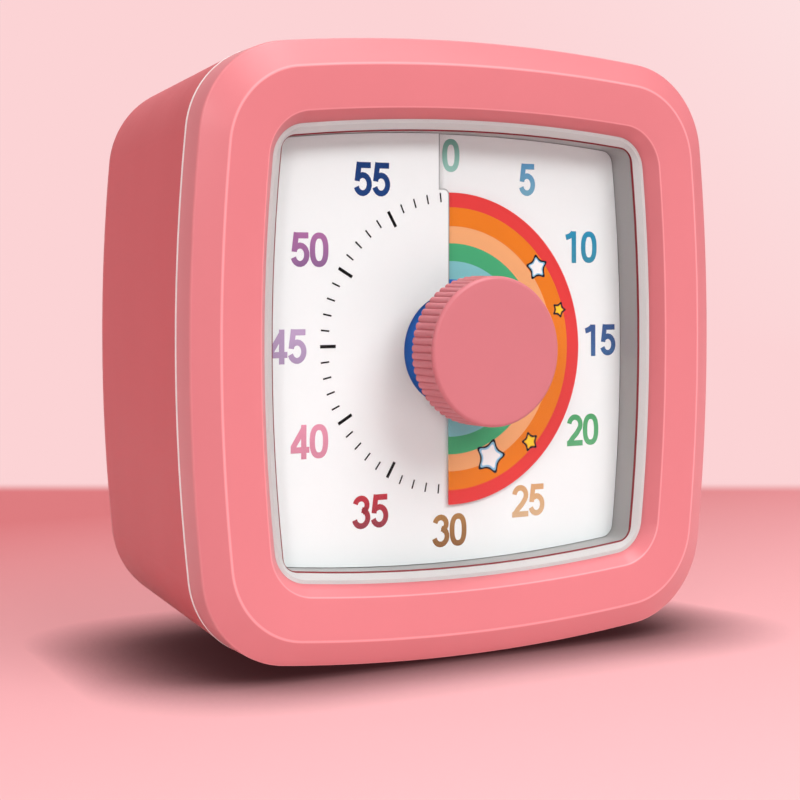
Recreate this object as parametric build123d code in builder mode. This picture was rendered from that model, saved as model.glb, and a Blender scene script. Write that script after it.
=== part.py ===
"""Visual countdown timer: a square housing with a coloured disc that a front knob winds out of a slit dial.

Millimetres. +X is to the right seen from the front, the front faces -Y and +Z is up.
The origin is the centre of the bounding box in X and Y, on the surface that the timer stands on.
A depth is measured backwards from the plane of the bezel's outer edge.
"""

import os
from math import asin, atan2, cos, degrees, isclose, radians, sin, sqrt

from build123d import *

# ---- housing outlines -------------------------------------------------------------------------
edge_half = 44.0  # half of the width and of the height, at the bezel's outer edge
bow_radius = 280.0  # the housing's four sides are bowed to this radius
edge_corner = 13.8
crease_inset = 3.65  # from the outer edge to the crease between the two front bands
crease_corner = 11.7
crease_rise = 2.1  # how far the crease stands in front of the outer edge
lip_inset = 9.7
lip_corner = 6.9
lip_rise = 1.8
window_inset = 11.2
window_bow_radius = 255.0
window_corner = 5.1
window_depth = 0.35
seam_inset = 0.5
seam_corner = 12.6
seam_depth = 5.2
rear_inset = 4.2
rear_corner = 12.9
rear_round = 4.5
bezel_wall = 1.5
shell_wall = 1.9

# ---- feet -------------------------------------------------------------------------------------
foot_drop = 0.3  # how far the feet reach below the bezel
foot_width = 5.0
foot_spacing = 34.0
foot_front_depth = 9.0
foot_rear_gap = 4.0  # from the ends of the feet to the back of the housing

# ---- inner frame and lens ---------------------------------------------------------------------
frame_inset = 12.8  # from the outer edge to the walls beside the dial
frame_corner = 2.0
frame_wall = 1.5
rim_depth = 1.1  # where the sloping rim meets the straight walls
ledge_width = 0.5  # flat seat of the lens, in front of the sloping rim
rim_flange = 1.2
rim_thickness = 1.0
seam_flange = 0.45  # thickness of the flange that is clamped at the seam
frame_rear_depth = 7.6
seat_width = 2.7  # ledge behind the edge of the dial plate
lens_thickness = 0.85
lens_clearance = 0.15
lens_hole_radius = 4.4

# ---- dial plate and coloured disc -------------------------------------------------------------
dial_depth = 5.3  # mean depth of the dial plate
sheet_rise = 1.4  # both sheets rise this much towards the front in one turn
plate_thickness = 0.4
plate_clearance = 0.1
plate_hole_radius = 8.2
plate_overlap = 14.0  # degrees of the plate that lie under its own flap
flap_edge_left = 0.75  # the flap's straight edge is this far left of the axis
flap_setback = 2.35  # beyond the disc the edge is cut back to here
flap_jog_radius = 23.2
flap_round = 0.9
disc_radius = 22.7
disc_thickness = 0.25
disc_gap = 0.4  # between the two edges of the disc's slit
seat_clearance = 0.05

# ---- spindle, knob and hub --------------------------------------------------------------------
spindle_radius = 2.0
spindle_flat = 1.4  # from the axis to the flat that drives the knob and the hub
spindle_end_gap = 0.2  # between the spindle's end and the knob's front wall
shoulder_radius = 4.2
shoulder_thickness = 0.8
spindle_chamfer = 0.3
running_fit = 0.05
drive_fit = 0.03
knob_radius = 10.65
knob_front_depth = -7.0
knob_rear_depth = -1.5
knob_edge_round = 1.1
knob_rib_count = 60
knob_rib_depth = 0.35
knob_wall = 1.6
knob_stem_radius = 3.9
knob_stem_depth = 2.6
hub_radius = 5.0
hub_flange_radius = 7.6
hub_flange_thickness = 0.8
hub_front_gap = 1.4  # between the knob's stem and the hub
hub_overlap = 1.0  # how far the flange is sunk into the hub
disc_bore_clearance = 0.1

# ---- chassis and movement ---------------------------------------------------------------------
chassis_thickness = 1.4
chassis_hole_radius = 8.6
ear_inset = 7.7  # from the side of the bezel to the screws of the ears
ear_z = 22.0
ear_width = 6.0
bezel_boss_radius = 2.6
spacer_radius = 2.4
movement_half = 22.2
movement_corner = 3.0
case_wall = 1.2
case_back_height = 3.8
bridge_thickness = 1.0
lug_width = 6.0
lug_length = 5.0
lug_thickness = 1.5
lug_boss_height = 2.0
boss_margin = 0.6  # how much smaller a boss is than the post or lug that stands on it
pivot_radius = 0.45
pivot_length = 0.8
arbor_radius = 0.6

gear_module = 0.4
centre_teeth = 60
third_teeth = 36
second_teeth = 36
intermediate_teeth = 30
pinion_teeth = 6
wheel_thickness = 0.8
tooth_addendum = 0.8  # heights of a tooth outside and inside the pitch circle, in modules
tooth_dedendum = 1.05
tooth_tip_share = 0.12  # half widths of a tooth at its tip and root, as shares of the pitch
tooth_root_share = 0.27
centre_wheel_gap = 0.6  # between the case's front wall and the centre wheel
third_wheel_gap = 1.2  # between the centre wheel and the third wheel, for the spindle's shoulder
wheel_gap = 1.0
bridge_gap = 0.4
pinion_overrun = 0.2
third_bearing = 90.0  # directions of the wheels' centres, each from the one before, in degrees
second_bearing = -15.2
intermediate_bearing = -55.0
rotor_bearing = -80.0
rotor_magnet_radius = 2.8
rotor_magnet_length = 3.4
rotor_magnet_gap = 0.6  # between the magnet and the intermediate wheel

cam_radius = 4.8
cam_gap = 1.6  # between the cam and the bridge
cam_thickness = 1.6
cam_notch_depth = 1.2
cam_notch_width = 1.6
leaf_thickness = 0.3
leaf_width = 3.0
leaf_length = 17.0
leaf_gap = 0.3
leaf_spread = 1.6  # between the moving leaf and the fixed one
clutch_thickness = 0.25
clutch_radius = 3.8
clutch_arm_count = 3

stator_thickness = 1.2
stator_hole_clearance = 0.6
stator_pole_width = 2.0
core_width = 3.4
core_length = 27.0
core_shift = 9.0  # from the rotor's axis across to the middle of the coil
coil_radius = 3.3
coil_length = 15.0
coil_flange_radius = 3.7
coil_flange_thickness = 0.8
coil_yoke_gap = 0.5
coil_floor_gap = 0.72  # between the coil's flanges and the case
case_post = 2.2

# ---- electronics ------------------------------------------------------------------------------
board_side_gap = 4.0  # from the inside of the case to the board
board_top_gap = 1.8
board_height = 16.0
board_thickness = 1.0
board_corner = 1.0
chip_x = -7.0
chip_radius = 3.6
chip_height = 0.9
chip_round = 0.72
crystal_x = 8.0
crystal_radius = 0.7
crystal_length = 6.0
buzzer_radius = 10.0
buzzer_thickness = 4.0
buzzer_ring_wall = 1.2
buzzer_port_radius = 2.0
buzzer_x = -8.0
buzzer_z = 17.5
grille_hole_radius = 0.8
grille_pitch = 3.0
grille_rings = 2

# ---- battery compartment ----------------------------------------------------------------------
cell_radius = 7.1
cell_length = 49.0
cell_nub_radius = 2.7
cell_nub_length = 1.3
cell_round = 0.6
bay_gap = 1.6  # between the movement and the battery bay
bay_clearance = 0.45
bay_wall = 1.2
bay_z = -13.5
contact_thickness = 0.4
contact_width = 8.0
spring_length = 5.0
spring_radius = 3.4
spring_wire_radius = 0.35
spring_turns = 4
door_thickness = 1.7
door_clearance = 0.3
door_pin_radius = 0.5
door_pin_length = 0.9
door_finger_width = 9.0
door_finger_gap = 0.7
door_finger_length = 4.0
door_groove_count = 5
door_groove_pitch = 1.6
door_ridge_height = 0.4

# ---- volume switch ----------------------------------------------------------------------------
switch_x = 19.0
switch_z = 14.0
slot_length = 9.0
slot_height = 3.4
slider_length = 3.6
slider_foot_margin = 1.0  # how far the foot reaches past the slider at each end
slider_travel = 4.8
slider_clearance = 0.25
slider_reach = 1.0
slider_round = 0.6
switch_body_length = 15.0
switch_body_height = 7.0
switch_body_thickness = 4.5
switch_gap = 0.3
collar_wall = 1.0

# ---- screws -----------------------------------------------------------------------------------
screw_radius = 1.3
screw_head_radius = 2.3
screw_head_height = 1.6
screw_fit = 0.05
small_screw_radius = 0.9
small_screw_head_radius = 1.7
small_screw_head_height = 1.0
rear_screw_inset = 16.5
post_radius = 3.9
post_end_depth = 15.0
post_floor = 3.0
counterbore_radius = 2.8
rear_screw_length = 8.6
chassis_screw_length = 7.6
movement_screw_length = 4.4

os.makedirs("parts", exist_ok=True)

# ---- values that follow from the sizes above ---------------------------------------------------
axis_z = edge_half + foot_drop
front_reach = -knob_front_depth
chassis_rear_depth = frame_rear_depth + chassis_thickness
case_front_depth = chassis_rear_depth
centre_wheel_depth = case_front_depth + case_wall + centre_wheel_gap
third_wheel_depth = centre_wheel_depth + wheel_thickness + third_wheel_gap
second_wheel_depth = third_wheel_depth + wheel_thickness + wheel_gap
intermediate_wheel_depth = second_wheel_depth + wheel_thickness + wheel_gap
bridge_depth = intermediate_wheel_depth + wheel_thickness + bridge_gap
case_split_depth = bridge_depth + bridge_thickness
case_rear_depth = case_split_depth + case_back_height
bay_front_depth = case_rear_depth + bay_gap + bay_wall
bay_half_height = cell_radius + bay_clearance
cell_depth = bay_front_depth + bay_half_height
rear_depth = bay_front_depth + 2 * bay_half_height + door_thickness
rear_reach = rear_depth + slider_reach
edge_y = (front_reach - rear_reach) / 2
foot_rear_depth = rear_depth - foot_rear_gap
plate_lag = sheet_rise / 2  # the plate lies this far behind the front part of the disc
bay_half_width = (cell_length + cell_nub_length + spring_length) / 2 + 2 * contact_thickness
rear_screw_at = edge_half - rear_screw_inset
ear_x = edge_half - ear_inset
case_inner_half = movement_half - case_wall
case_inner_corner = movement_corner - case_wall
board_width = 2 * (case_inner_half - board_side_gap)
board_z = case_inner_half - board_top_gap - board_height / 2
spindle_front_depth = knob_front_depth + knob_wall + spindle_end_gap
hub_front_depth = knob_stem_depth + hub_front_gap
hub_rear_depth = frame_rear_depth
rotor_magnet_rear_depth = intermediate_wheel_depth - rotor_magnet_gap
stator_depth = rotor_magnet_rear_depth - (rotor_magnet_length + stator_thickness) / 2
cam_front_depth = bridge_depth - cam_gap - cam_thickness


def layer(depth):
    """Plane that faces the viewer at a depth, centred on the dial's axis: its x is +X and its y is +Z."""
    return Plane(origin=(0, edge_y + depth, axis_z), x_dir=(1, 0, 0), z_dir=(0, -1, 0))


def draft_half(depth):
    """Half size of the housing's outside at a depth behind the seam."""
    share = (depth - seam_depth) / (rear_depth - seam_depth)
    return edge_half - seam_inset - share * (rear_inset - seam_inset)


def squircle(half, corner, bow=bow_radius):
    """Sketch of a square with bowed sides and round corners, tangent all round."""
    flat = half - bow
    reach = (flat + sqrt(2 * (bow - corner) ** 2 - flat**2)) / 2
    turn = atan2(reach, reach - flat)
    tangent = Vector(flat + bow * cos(turn), bow * sin(turn))
    below = Vector(tangent.X, -tangent.Y)
    past = Vector(tangent.Y, tangent.X)
    corner_middle = Vector(1, 1) * (reach + corner / sqrt(2))
    with BuildSketch() as outline:
        with BuildLine():
            for angle in (0, 90, 180, 270):
                ends = [point.rotate(Axis.Z, angle) for point in (below, tangent, past, corner_middle)]
                ThreePointArc(ends[0], Vector(half, 0).rotate(Axis.Z, angle), ends[1])
                ThreePointArc(ends[1], ends[3], ends[2])
        make_face()
    return outline.sketch


def edge_outline(inset, corner, bow=bow_radius):
    """Outline at an inset from the bezel's outer edge."""
    return squircle(edge_half - inset, corner, bow)


def window_outline(inset, corner):
    """Outline of the window family, which is bowed a little more, at an inset from the bezel's outer edge."""
    return squircle(edge_half - inset, corner, window_bow_radius)


def helical_sheet(inner, outer, thickness, start, sweep_angle, depth, start_height):
    """Thin sheet that climbs clockwise about the dial's axis, as seen from the front.

    start and sweep_angle are in degrees clockwise from 12 o'clock. At its start the sheet's middle is
    start_height in front of the given depth, and it rises by sheet_rise in a turn.
    """
    middle = (inner + outer) / 2
    rise = sheet_rise * sweep_angle / 360
    start_plane = Plane(
        origin=(0, edge_y + depth - start_height, axis_z),
        x_dir=(sin(radians(start)), 0, cos(radians(start))),
        z_dir=(0, -1, 0),
    )
    path = start_plane * Helix(pitch=sheet_rise, height=rise, radius=middle, lefthand=True)
    section_plane = Plane(origin=path @ 0, x_dir=start_plane.x_dir, z_dir=path % 0)
    with BuildPart(mode=Mode.PRIVATE) as sheet:
        with BuildSketch(section_plane):
            Rectangle(outer - inner, thickness)
        sweep(path=path, is_frenet=True)
    return sheet.part


def dial_sheet(outline, thickness, start, sweep_angle, behind=0.0):
    """Stretch of the dial plate's helical sheet, moved back by behind and cut to an outline."""
    with BuildPart(mode=Mode.PRIVATE) as block:
        with BuildSketch(layer(rear_depth)):
            add(outline)
        extrude(amount=rear_depth)
    start_height = -plate_lag + sheet_rise * start / 360
    reach = 1.5 * edge_half
    depth = dial_depth + behind
    sheet = helical_sheet(plate_hole_radius, reach, thickness, start, sweep_angle, depth, start_height)
    return sheet & block.part


def gear_outline(teeth, phase):
    """Gear with straight-flanked teeth; one tooth points along phase, in degrees."""
    pitch_radius = gear_module * teeth / 2
    tip_radius = pitch_radius + tooth_addendum * gear_module
    root_radius = pitch_radius - tooth_dedendum * gear_module
    pitch_angle = 360 / teeth
    points = []
    for tooth in range(teeth):
        centre = phase + tooth * pitch_angle
        for radius, share in (
            (root_radius, -tooth_root_share),
            (tip_radius, -tooth_tip_share),
            (tip_radius, tooth_tip_share),
            (root_radius, tooth_root_share),
        ):
            angle = radians(centre + share * pitch_angle)
            points.append((radius * cos(angle), radius * sin(angle)))
    with BuildSketch() as outline:
        with BuildLine():
            Polyline(*points, close=True)
        make_face()
    return outline.sketch


def mate_phase(line_angle, phase, teeth, mate_teeth):
    """Phase of a gear that meshes with one of the given phase, at line_angle from its centre."""
    return line_angle + 180 - (phase - line_angle) * teeth / mate_teeth + 180 / mate_teeth


def step(place, distance, angle):
    """Place at a distance and direction from another."""
    return (place[0] + distance * cos(radians(angle)), place[1] + distance * sin(radians(angle)))


def centre_distance(teeth, mate_teeth):
    """Distance between the centres of two meshing gears."""
    return gear_module * (teeth + mate_teeth) / 2


def save(piece, name):
    """Label a finished piece and write it."""
    piece.part.label = name
    export_step(piece.part, f"parts/{name}.step")


ear_places = [(x, z) for x in (-ear_x, ear_x) for z in (-ear_z, ear_z)]
rear_screw_places = [(x, z) for x in (-rear_screw_at, rear_screw_at) for z in (-rear_screw_at, rear_screw_at)]

# ---- front bezel ------------------------------------------------------------------------------
with BuildPart() as front_bezel:
    with BuildSketch(layer(seam_depth)):
        add(edge_outline(seam_inset, seam_corner))
    with BuildSketch(layer(0)):
        add(edge_outline(0, edge_corner))
    loft(ruled=True)
    with BuildSketch(layer(0)):
        add(edge_outline(0, edge_corner))
    with BuildSketch(layer(-crease_rise)):
        add(edge_outline(crease_inset, crease_corner))
    loft(ruled=True)
    # The inner band falls from the crease to the lip, and the lip slopes in to the window.
    with BuildSketch(layer(-crease_rise)):
        add(edge_outline(crease_inset, crease_corner))
    with BuildSketch(layer(-lip_rise)):
        add(edge_outline(lip_inset, lip_corner))
    loft(ruled=True, mode=Mode.SUBTRACT)
    with BuildSketch(layer(-lip_rise)):
        add(edge_outline(lip_inset, lip_corner))
    with BuildSketch(layer(window_depth)):
        add(window_outline(window_inset, window_corner))
    loft(ruled=True, mode=Mode.SUBTRACT)
    # The hollow behind the front leaves the side wall.
    with BuildSketch(layer(seam_depth)):
        add(edge_outline(seam_inset + bezel_wall, seam_corner - bezel_wall))
    extrude(amount=seam_depth - window_depth, mode=Mode.SUBTRACT)
    with BuildSketch(layer(seam_depth)):
        with Locations(*ear_places):
            Circle(bezel_boss_radius)
            Circle(small_screw_radius + screw_fit, mode=Mode.SUBTRACT)
    extrude(amount=seam_depth - window_depth)
save(front_bezel, "front_bezel")

# ---- lens -------------------------------------------------------------------------------------
with BuildPart() as lens:
    with BuildSketch(layer(window_depth)):
        add(window_outline(window_inset + lens_clearance, window_corner - lens_clearance))
        Circle(lens_hole_radius, mode=Mode.SUBTRACT)
    extrude(amount=lens_thickness)
save(lens, "lens")

# ---- inner frame ------------------------------------------------------------------------------
frame_outer_inset = frame_inset - frame_wall
flange_rear_depth = seam_depth + seam_flange
plate_outline = window_outline(frame_inset + plate_clearance, frame_corner)
with BuildPart() as inner_frame:
    with BuildSketch(layer(frame_rear_depth)):
        add(window_outline(frame_outer_inset, frame_corner + frame_wall))
    extrude(amount=frame_rear_depth - window_depth)
    with BuildSketch(layer(window_depth + rim_thickness)):
        add(window_outline(frame_outer_inset - rim_flange, frame_corner + frame_wall + rim_flange))
    extrude(amount=rim_thickness)
    with BuildSketch(layer(flange_rear_depth)):
        add(edge_outline(seam_inset, seam_corner))
    extrude(amount=seam_flange)
    with BuildSketch(layer(frame_rear_depth)):
        with Locations(*ear_places):
            Circle(spacer_radius)
    extrude(amount=frame_rear_depth - seam_depth)
    with BuildSketch(layer(frame_rear_depth)):
        with Locations(*ear_places):
            Circle(small_screw_radius + screw_fit)
    extrude(amount=frame_rear_depth, mode=Mode.SUBTRACT)
    # The sloping rim, the straight walls and the helical seat of the dial plate.
    with BuildSketch(layer(window_depth)):
        add(window_outline(window_inset + ledge_width, window_corner - ledge_width))
    with BuildSketch(layer(rim_depth)):
        add(window_outline(frame_inset, frame_corner))
    loft(ruled=True, mode=Mode.SUBTRACT)
    with BuildSketch(layer(dial_depth - plate_lag)):
        add(window_outline(frame_inset, frame_corner))
    extrude(amount=dial_depth - plate_lag - rim_depth, mode=Mode.SUBTRACT)
    seat_cut = 2 * sheet_rise
    seat_shift = (plate_thickness - seat_cut) / 2 + seat_clearance
    for start, sweep_angle in ((-plate_overlap, plate_overlap), (0, 180), (180, 180)):
        cut = dial_sheet(window_outline(frame_inset, frame_corner), seat_cut, start, sweep_angle, seat_shift)
        add(cut, mode=Mode.SUBTRACT)
    with BuildSketch(layer(frame_rear_depth)):
        add(window_outline(frame_inset + seat_width, frame_corner))
    extrude(amount=frame_rear_depth - rim_depth, mode=Mode.SUBTRACT)
save(inner_frame, "inner_frame")

# ---- dial plate: a helical sheet whose left end is cut back as a flap ---------------------------
flap_depth = dial_depth - plate_lag
with BuildPart() as dial_plate:
    add(dial_sheet(plate_outline, plate_thickness, -plate_overlap, 360 + plate_overlap))
    with BuildSketch(layer(flap_depth + plate_lag)):
        with BuildLine():
            Polyline(
                (-flap_setback, edge_half),
                (-flap_setback, flap_jog_radius),
                (-flap_edge_left, flap_jog_radius),
                (-flap_edge_left, 0),
                (flap_setback, 0),
                (flap_setback, edge_half),
                close=True,
            )
        make_face()
    extrude(amount=2 * plate_lag, mode=Mode.SUBTRACT)
    short_edges = [e for e in dial_plate.edges() if e.length < 2 * plate_thickness]
    flap_corners = [e for e in short_edges if isclose(e.center().X, -flap_edge_left, rel_tol=plate_clearance)]
    fillet(flap_corners, flap_round)
save(dial_plate, "dial_plate")

# ---- coloured disc and its hub ------------------------------------------------------------------
# At rest half of the disc lies in front of the plate, from 12 to 6 o'clock, and half lies behind it.
# The edges of its slit are straight, and the front one is in line with the flap's.
disc_bore_radius = hub_radius + disc_bore_clearance
slit_angle = degrees(asin((flap_edge_left + disc_gap) / disc_bore_radius))
disc_start = -180
disc_sweep = 360 + slit_angle
with BuildPart() as time_disc:
    add(
        helical_sheet(
            disc_bore_radius,
            disc_radius,
            disc_thickness,
            disc_start,
            disc_sweep,
            dial_depth,
            -sheet_rise / 2,
        )
    )
    for depth, middle in (
        (dial_depth, -disc_radius - flap_edge_left),
        (dial_depth + sheet_rise, disc_radius - flap_edge_left - disc_gap),
    ):
        with BuildSketch(layer(depth)):
            with Locations((middle, -disc_radius)):
                Rectangle(2 * disc_radius, 2 * disc_radius)
        extrude(amount=sheet_rise, mode=Mode.SUBTRACT)
save(time_disc, "time_disc")


def drive_bore(fit):
    """Sketch of the hole that fits the flatted spindle."""
    with BuildSketch() as bore:
        Circle(spindle_radius + fit)
        with Locations((0, spindle_flat + fit + spindle_radius)):
            Rectangle(4 * spindle_radius, 2 * spindle_radius, mode=Mode.SUBTRACT)
    return bore.sketch


flange_behind = (disc_thickness + hub_flange_thickness) / 2 + seat_clearance
with BuildPart() as disc_hub:
    with BuildSketch(layer(hub_rear_depth)):
        Circle(hub_radius)
    extrude(amount=hub_rear_depth - hub_front_depth)
    add(
        helical_sheet(
            hub_radius - hub_overlap,
            hub_flange_radius,
            hub_flange_thickness,
            disc_start + slit_angle,
            -2 * disc_start - slit_angle,
            dial_depth + flange_behind,
            sheet_rise * (disc_start + slit_angle) / 360,
        )
    )
    with BuildSketch(layer(hub_rear_depth)):
        add(drive_bore(running_fit))
    extrude(amount=hub_rear_depth - hub_front_depth, mode=Mode.SUBTRACT)
save(disc_hub, "disc_hub")

# ---- spindle ------------------------------------------------------------------------------------
spindle_rear_depth = case_rear_depth - case_wall / 2
shoulder_depth = centre_wheel_depth + wheel_thickness + running_fit
with BuildPart() as spindle:
    with BuildSketch(layer(spindle_rear_depth)):
        Circle(spindle_radius)
    extrude(amount=spindle_rear_depth - spindle_front_depth)
    with BuildSketch(layer(case_front_depth - chassis_thickness / 2)):
        with Locations((0, spindle_flat + spindle_radius)):
            Rectangle(4 * spindle_radius, 2 * spindle_radius)
    extrude(amount=case_front_depth - chassis_thickness / 2 - spindle_front_depth, mode=Mode.SUBTRACT)
    with BuildSketch(layer(shoulder_depth + shoulder_thickness)):
        Circle(shoulder_radius)
    extrude(amount=shoulder_thickness)
    chamfer(spindle.edges().filter_by(GeomType.CIRCLE).sort_by(Axis.Y)[-1], spindle_chamfer)
save(spindle, "spindle")

# ---- knob ---------------------------------------------------------------------------------------
knob_length = knob_rear_depth - knob_front_depth
with BuildPart() as knob:
    with BuildSketch(layer(knob_rear_depth)):
        Circle(knob_radius)
    extrude(amount=knob_length)
    fillet(knob.edges().sort_by(Axis.Y)[0], knob_edge_round)
    # The ribs are left between V grooves that run out in the rounded front edge.
    with BuildSketch(layer(knob_rear_depth)):
        with PolarLocations(knob_radius, knob_rib_count):
            RegularPolygon(knob_rib_depth, 4)
    extrude(amount=knob_length - knob_edge_round / 2, mode=Mode.SUBTRACT)
    with BuildSketch(layer(knob_rear_depth)):
        Circle(knob_radius - knob_wall)
        Circle(knob_stem_radius, mode=Mode.SUBTRACT)
    extrude(amount=knob_length - knob_wall, mode=Mode.SUBTRACT)
    with BuildSketch(layer(knob_stem_depth)):
        Circle(knob_stem_radius)
    extrude(amount=knob_stem_depth - knob_rear_depth)
    with BuildSketch(layer(knob_stem_depth)):
        add(drive_bore(drive_fit))
    extrude(amount=knob_stem_depth - spindle_front_depth + drive_fit, mode=Mode.SUBTRACT)
save(knob, "knob")

# ---- chassis plate --------------------------------------------------------------------------------
lug_x = movement_half + lug_length / 2
lug_places = [(-lug_x, 0), (lug_x, 0)]
lug_face_depth = chassis_rear_depth + lug_boss_height
with BuildPart() as chassis_plate:
    with BuildSketch(layer(chassis_rear_depth)):
        add(window_outline(frame_outer_inset, frame_corner + frame_wall))
        for height in (-ear_z, ear_z):
            with Locations((0, height)):
                SlotCenterToCenter(2 * ear_x, ear_width)
        Circle(chassis_hole_radius, mode=Mode.SUBTRACT)
        with Locations(*ear_places):
            Circle(small_screw_radius + screw_fit, mode=Mode.SUBTRACT)
    extrude(amount=chassis_thickness)
    with BuildSketch(layer(post_end_depth)):
        with Locations(*rear_screw_places):
            Circle(post_radius - boss_margin)
    extrude(amount=post_end_depth - chassis_rear_depth)
    with BuildSketch(layer(lug_face_depth)):
        with Locations(*lug_places):
            Rectangle(lug_length - boss_margin, lug_width)
    extrude(amount=lug_boss_height)
    with BuildSketch(layer(post_end_depth)):
        with Locations(*rear_screw_places):
            Circle(screw_radius + screw_fit)
    extrude(amount=post_end_depth - chassis_rear_depth, mode=Mode.SUBTRACT)
    with BuildSketch(layer(lug_face_depth)):
        with Locations(*lug_places):
            Circle(small_screw_radius + screw_fit)
    extrude(amount=lug_boss_height + chassis_thickness, mode=Mode.SUBTRACT)
save(chassis_plate, "chassis_plate")

# ---- gear train -----------------------------------------------------------------------------------
spindle_place = (0, 0)
third_place = step(spindle_place, centre_distance(centre_teeth, pinion_teeth), third_bearing)
second_place = step(third_place, centre_distance(third_teeth, pinion_teeth), second_bearing)
intermediate_place = step(second_place, centre_distance(second_teeth, pinion_teeth), intermediate_bearing)
rotor_place = step(intermediate_place, centre_distance(intermediate_teeth, pinion_teeth), rotor_bearing)
arbor_places = (third_place, second_place, intermediate_place, rotor_place)

third_phase = mate_phase(third_bearing, 0, centre_teeth, pinion_teeth)
second_phase = mate_phase(second_bearing, third_phase, third_teeth, pinion_teeth)
intermediate_phase = mate_phase(intermediate_bearing, second_phase, second_teeth, pinion_teeth)
rotor_phase = mate_phase(rotor_bearing, intermediate_phase, intermediate_teeth, pinion_teeth)

pivot_front_depth = case_front_depth + case_wall - pivot_length
pivot_rear_depth = bridge_depth + pivot_length


def wheel(place, teeth, wheel_depth, drive_depth, phase):
    """Wheel with its own pinion in front of it, on an arbor that ends in two thin pivots."""
    with BuildPart() as moulding:
        with BuildSketch(layer(wheel_depth + wheel_thickness)):
            with Locations(place):
                add(gear_outline(teeth, phase))
        extrude(amount=wheel_thickness)
        with BuildSketch(layer(wheel_depth)):
            with Locations(place):
                add(gear_outline(pinion_teeth, phase))
        extrude(amount=wheel_depth - drive_depth + pinion_overrun)
        add(arbor(place))
    return moulding


def arbor(place):
    """Arbor between the case's front wall and the bridge, with a pivot in each."""
    with BuildPart(mode=Mode.PRIVATE) as shaft:
        with BuildSketch(layer(bridge_depth - running_fit)):
            with Locations(place):
                Circle(arbor_radius)
        extrude(amount=bridge_depth - case_front_depth - case_wall - 2 * running_fit)
        with BuildSketch(layer(pivot_rear_depth)):
            with Locations(place):
                Circle(pivot_radius)
        extrude(amount=pivot_rear_depth - pivot_front_depth)
    return shaft.part


with BuildPart() as centre_wheel:
    with BuildSketch(layer(centre_wheel_depth + wheel_thickness)):
        add(gear_outline(centre_teeth, 0))
        Circle(spindle_radius + running_fit, mode=Mode.SUBTRACT)
    extrude(amount=wheel_thickness)
save(centre_wheel, "centre_wheel")

third_wheel = wheel(third_place, third_teeth, third_wheel_depth, centre_wheel_depth, third_phase)
save(third_wheel, "third_wheel")
second_wheel = wheel(second_place, second_teeth, second_wheel_depth, third_wheel_depth, second_phase)
save(second_wheel, "second_wheel")
intermediate_wheel = wheel(
    intermediate_place, intermediate_teeth, intermediate_wheel_depth, second_wheel_depth, intermediate_phase
)
save(intermediate_wheel, "intermediate_wheel")

with BuildPart() as rotor:
    with BuildSketch(layer(rotor_magnet_rear_depth)):
        with Locations(rotor_place):
            Circle(rotor_magnet_radius)
    extrude(amount=rotor_magnet_length)
    with BuildSketch(layer(intermediate_wheel_depth + wheel_thickness + pinion_overrun)):
        with Locations(rotor_place):
            add(gear_outline(pinion_teeth, rotor_phase))
    extrude(amount=wheel_thickness + 2 * pinion_overrun)
    add(arbor(rotor_place))
save(rotor, "rotor")

# ---- clutch spring, trip cam and its contacts -------------------------------------------------------
with BuildPart() as clutch_spring:
    with BuildSketch(layer(centre_wheel_depth - running_fit)):
        Circle(clutch_radius)
        with PolarLocations(clutch_radius, clutch_arm_count):
            Circle(clutch_radius - spindle_radius - 2 * clutch_thickness, mode=Mode.SUBTRACT)
        Circle(spindle_radius + 2 * clutch_thickness)
        Circle(spindle_radius + drive_fit, mode=Mode.SUBTRACT)
    extrude(amount=clutch_thickness)
save(clutch_spring, "clutch_spring")

with BuildPart() as trip_cam:
    with BuildSketch(layer(cam_front_depth + cam_thickness)):
        Circle(cam_radius)
        with Locations((cam_radius, 0)):
            Rectangle(2 * cam_notch_depth, cam_notch_width, mode=Mode.SUBTRACT)
        Circle(spindle_radius + drive_fit, mode=Mode.SUBTRACT)
    extrude(amount=cam_thickness)
save(trip_cam, "trip_cam")

leaf_rear_depth = cam_front_depth + (cam_thickness + leaf_width) / 2


def leaf(distance):
    """Springy contact strip beside the cam, with its foot on the bridge."""
    x = -cam_radius - leaf_gap - leaf_thickness / 2 - distance
    with BuildPart() as strip:
        with BuildSketch(layer(leaf_rear_depth)):
            with Locations((x, leaf_length / 2 - cam_notch_width)):
                Rectangle(leaf_thickness, leaf_length)
        extrude(amount=leaf_width)
        with BuildSketch(layer(bridge_depth)):
            with Locations((x, leaf_length - cam_notch_width - leaf_width / 2)):
                Rectangle(leaf_thickness, leaf_width)
        extrude(amount=bridge_depth - leaf_rear_depth)
    return strip


contact_leaf = leaf(0)
save(contact_leaf, "contact_leaf")
contact_anvil = leaf(leaf_spread)
save(contact_anvil, "contact_anvil")

# ---- stepping motor: stator and coil ----------------------------------------------------------------
stator_hole_radius = rotor_magnet_radius + stator_hole_clearance
core_x = rotor_place[0] - core_shift
core_z = coil_floor_gap + coil_flange_radius - case_inner_half
arm_x = (core_length - core_width) / 2
coil_top = core_z + coil_flange_radius
yoke_z = coil_top + core_width / 2 + coil_yoke_gap
with BuildPart() as stator:
    with BuildSketch(layer(stator_depth + stator_thickness)):
        with Locations((core_x, core_z)):
            Rectangle(core_length, core_width)
        for x in (core_x - arm_x, core_x + arm_x):
            with Locations((x, (core_z + yoke_z) / 2)):
                Rectangle(core_width, yoke_z - core_z + core_width)
        with Locations((core_x, yoke_z)):
            Rectangle(core_length, core_width)
        with Locations((rotor_place[0], (rotor_place[1] + yoke_z) / 2)):
            Rectangle(2 * stator_hole_radius, rotor_place[1] - yoke_z)
        with Locations(rotor_place):
            Circle(stator_hole_radius + stator_pole_width)
            Circle(stator_hole_radius, mode=Mode.SUBTRACT)
    extrude(amount=stator_thickness)
save(stator, "stator")

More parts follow.
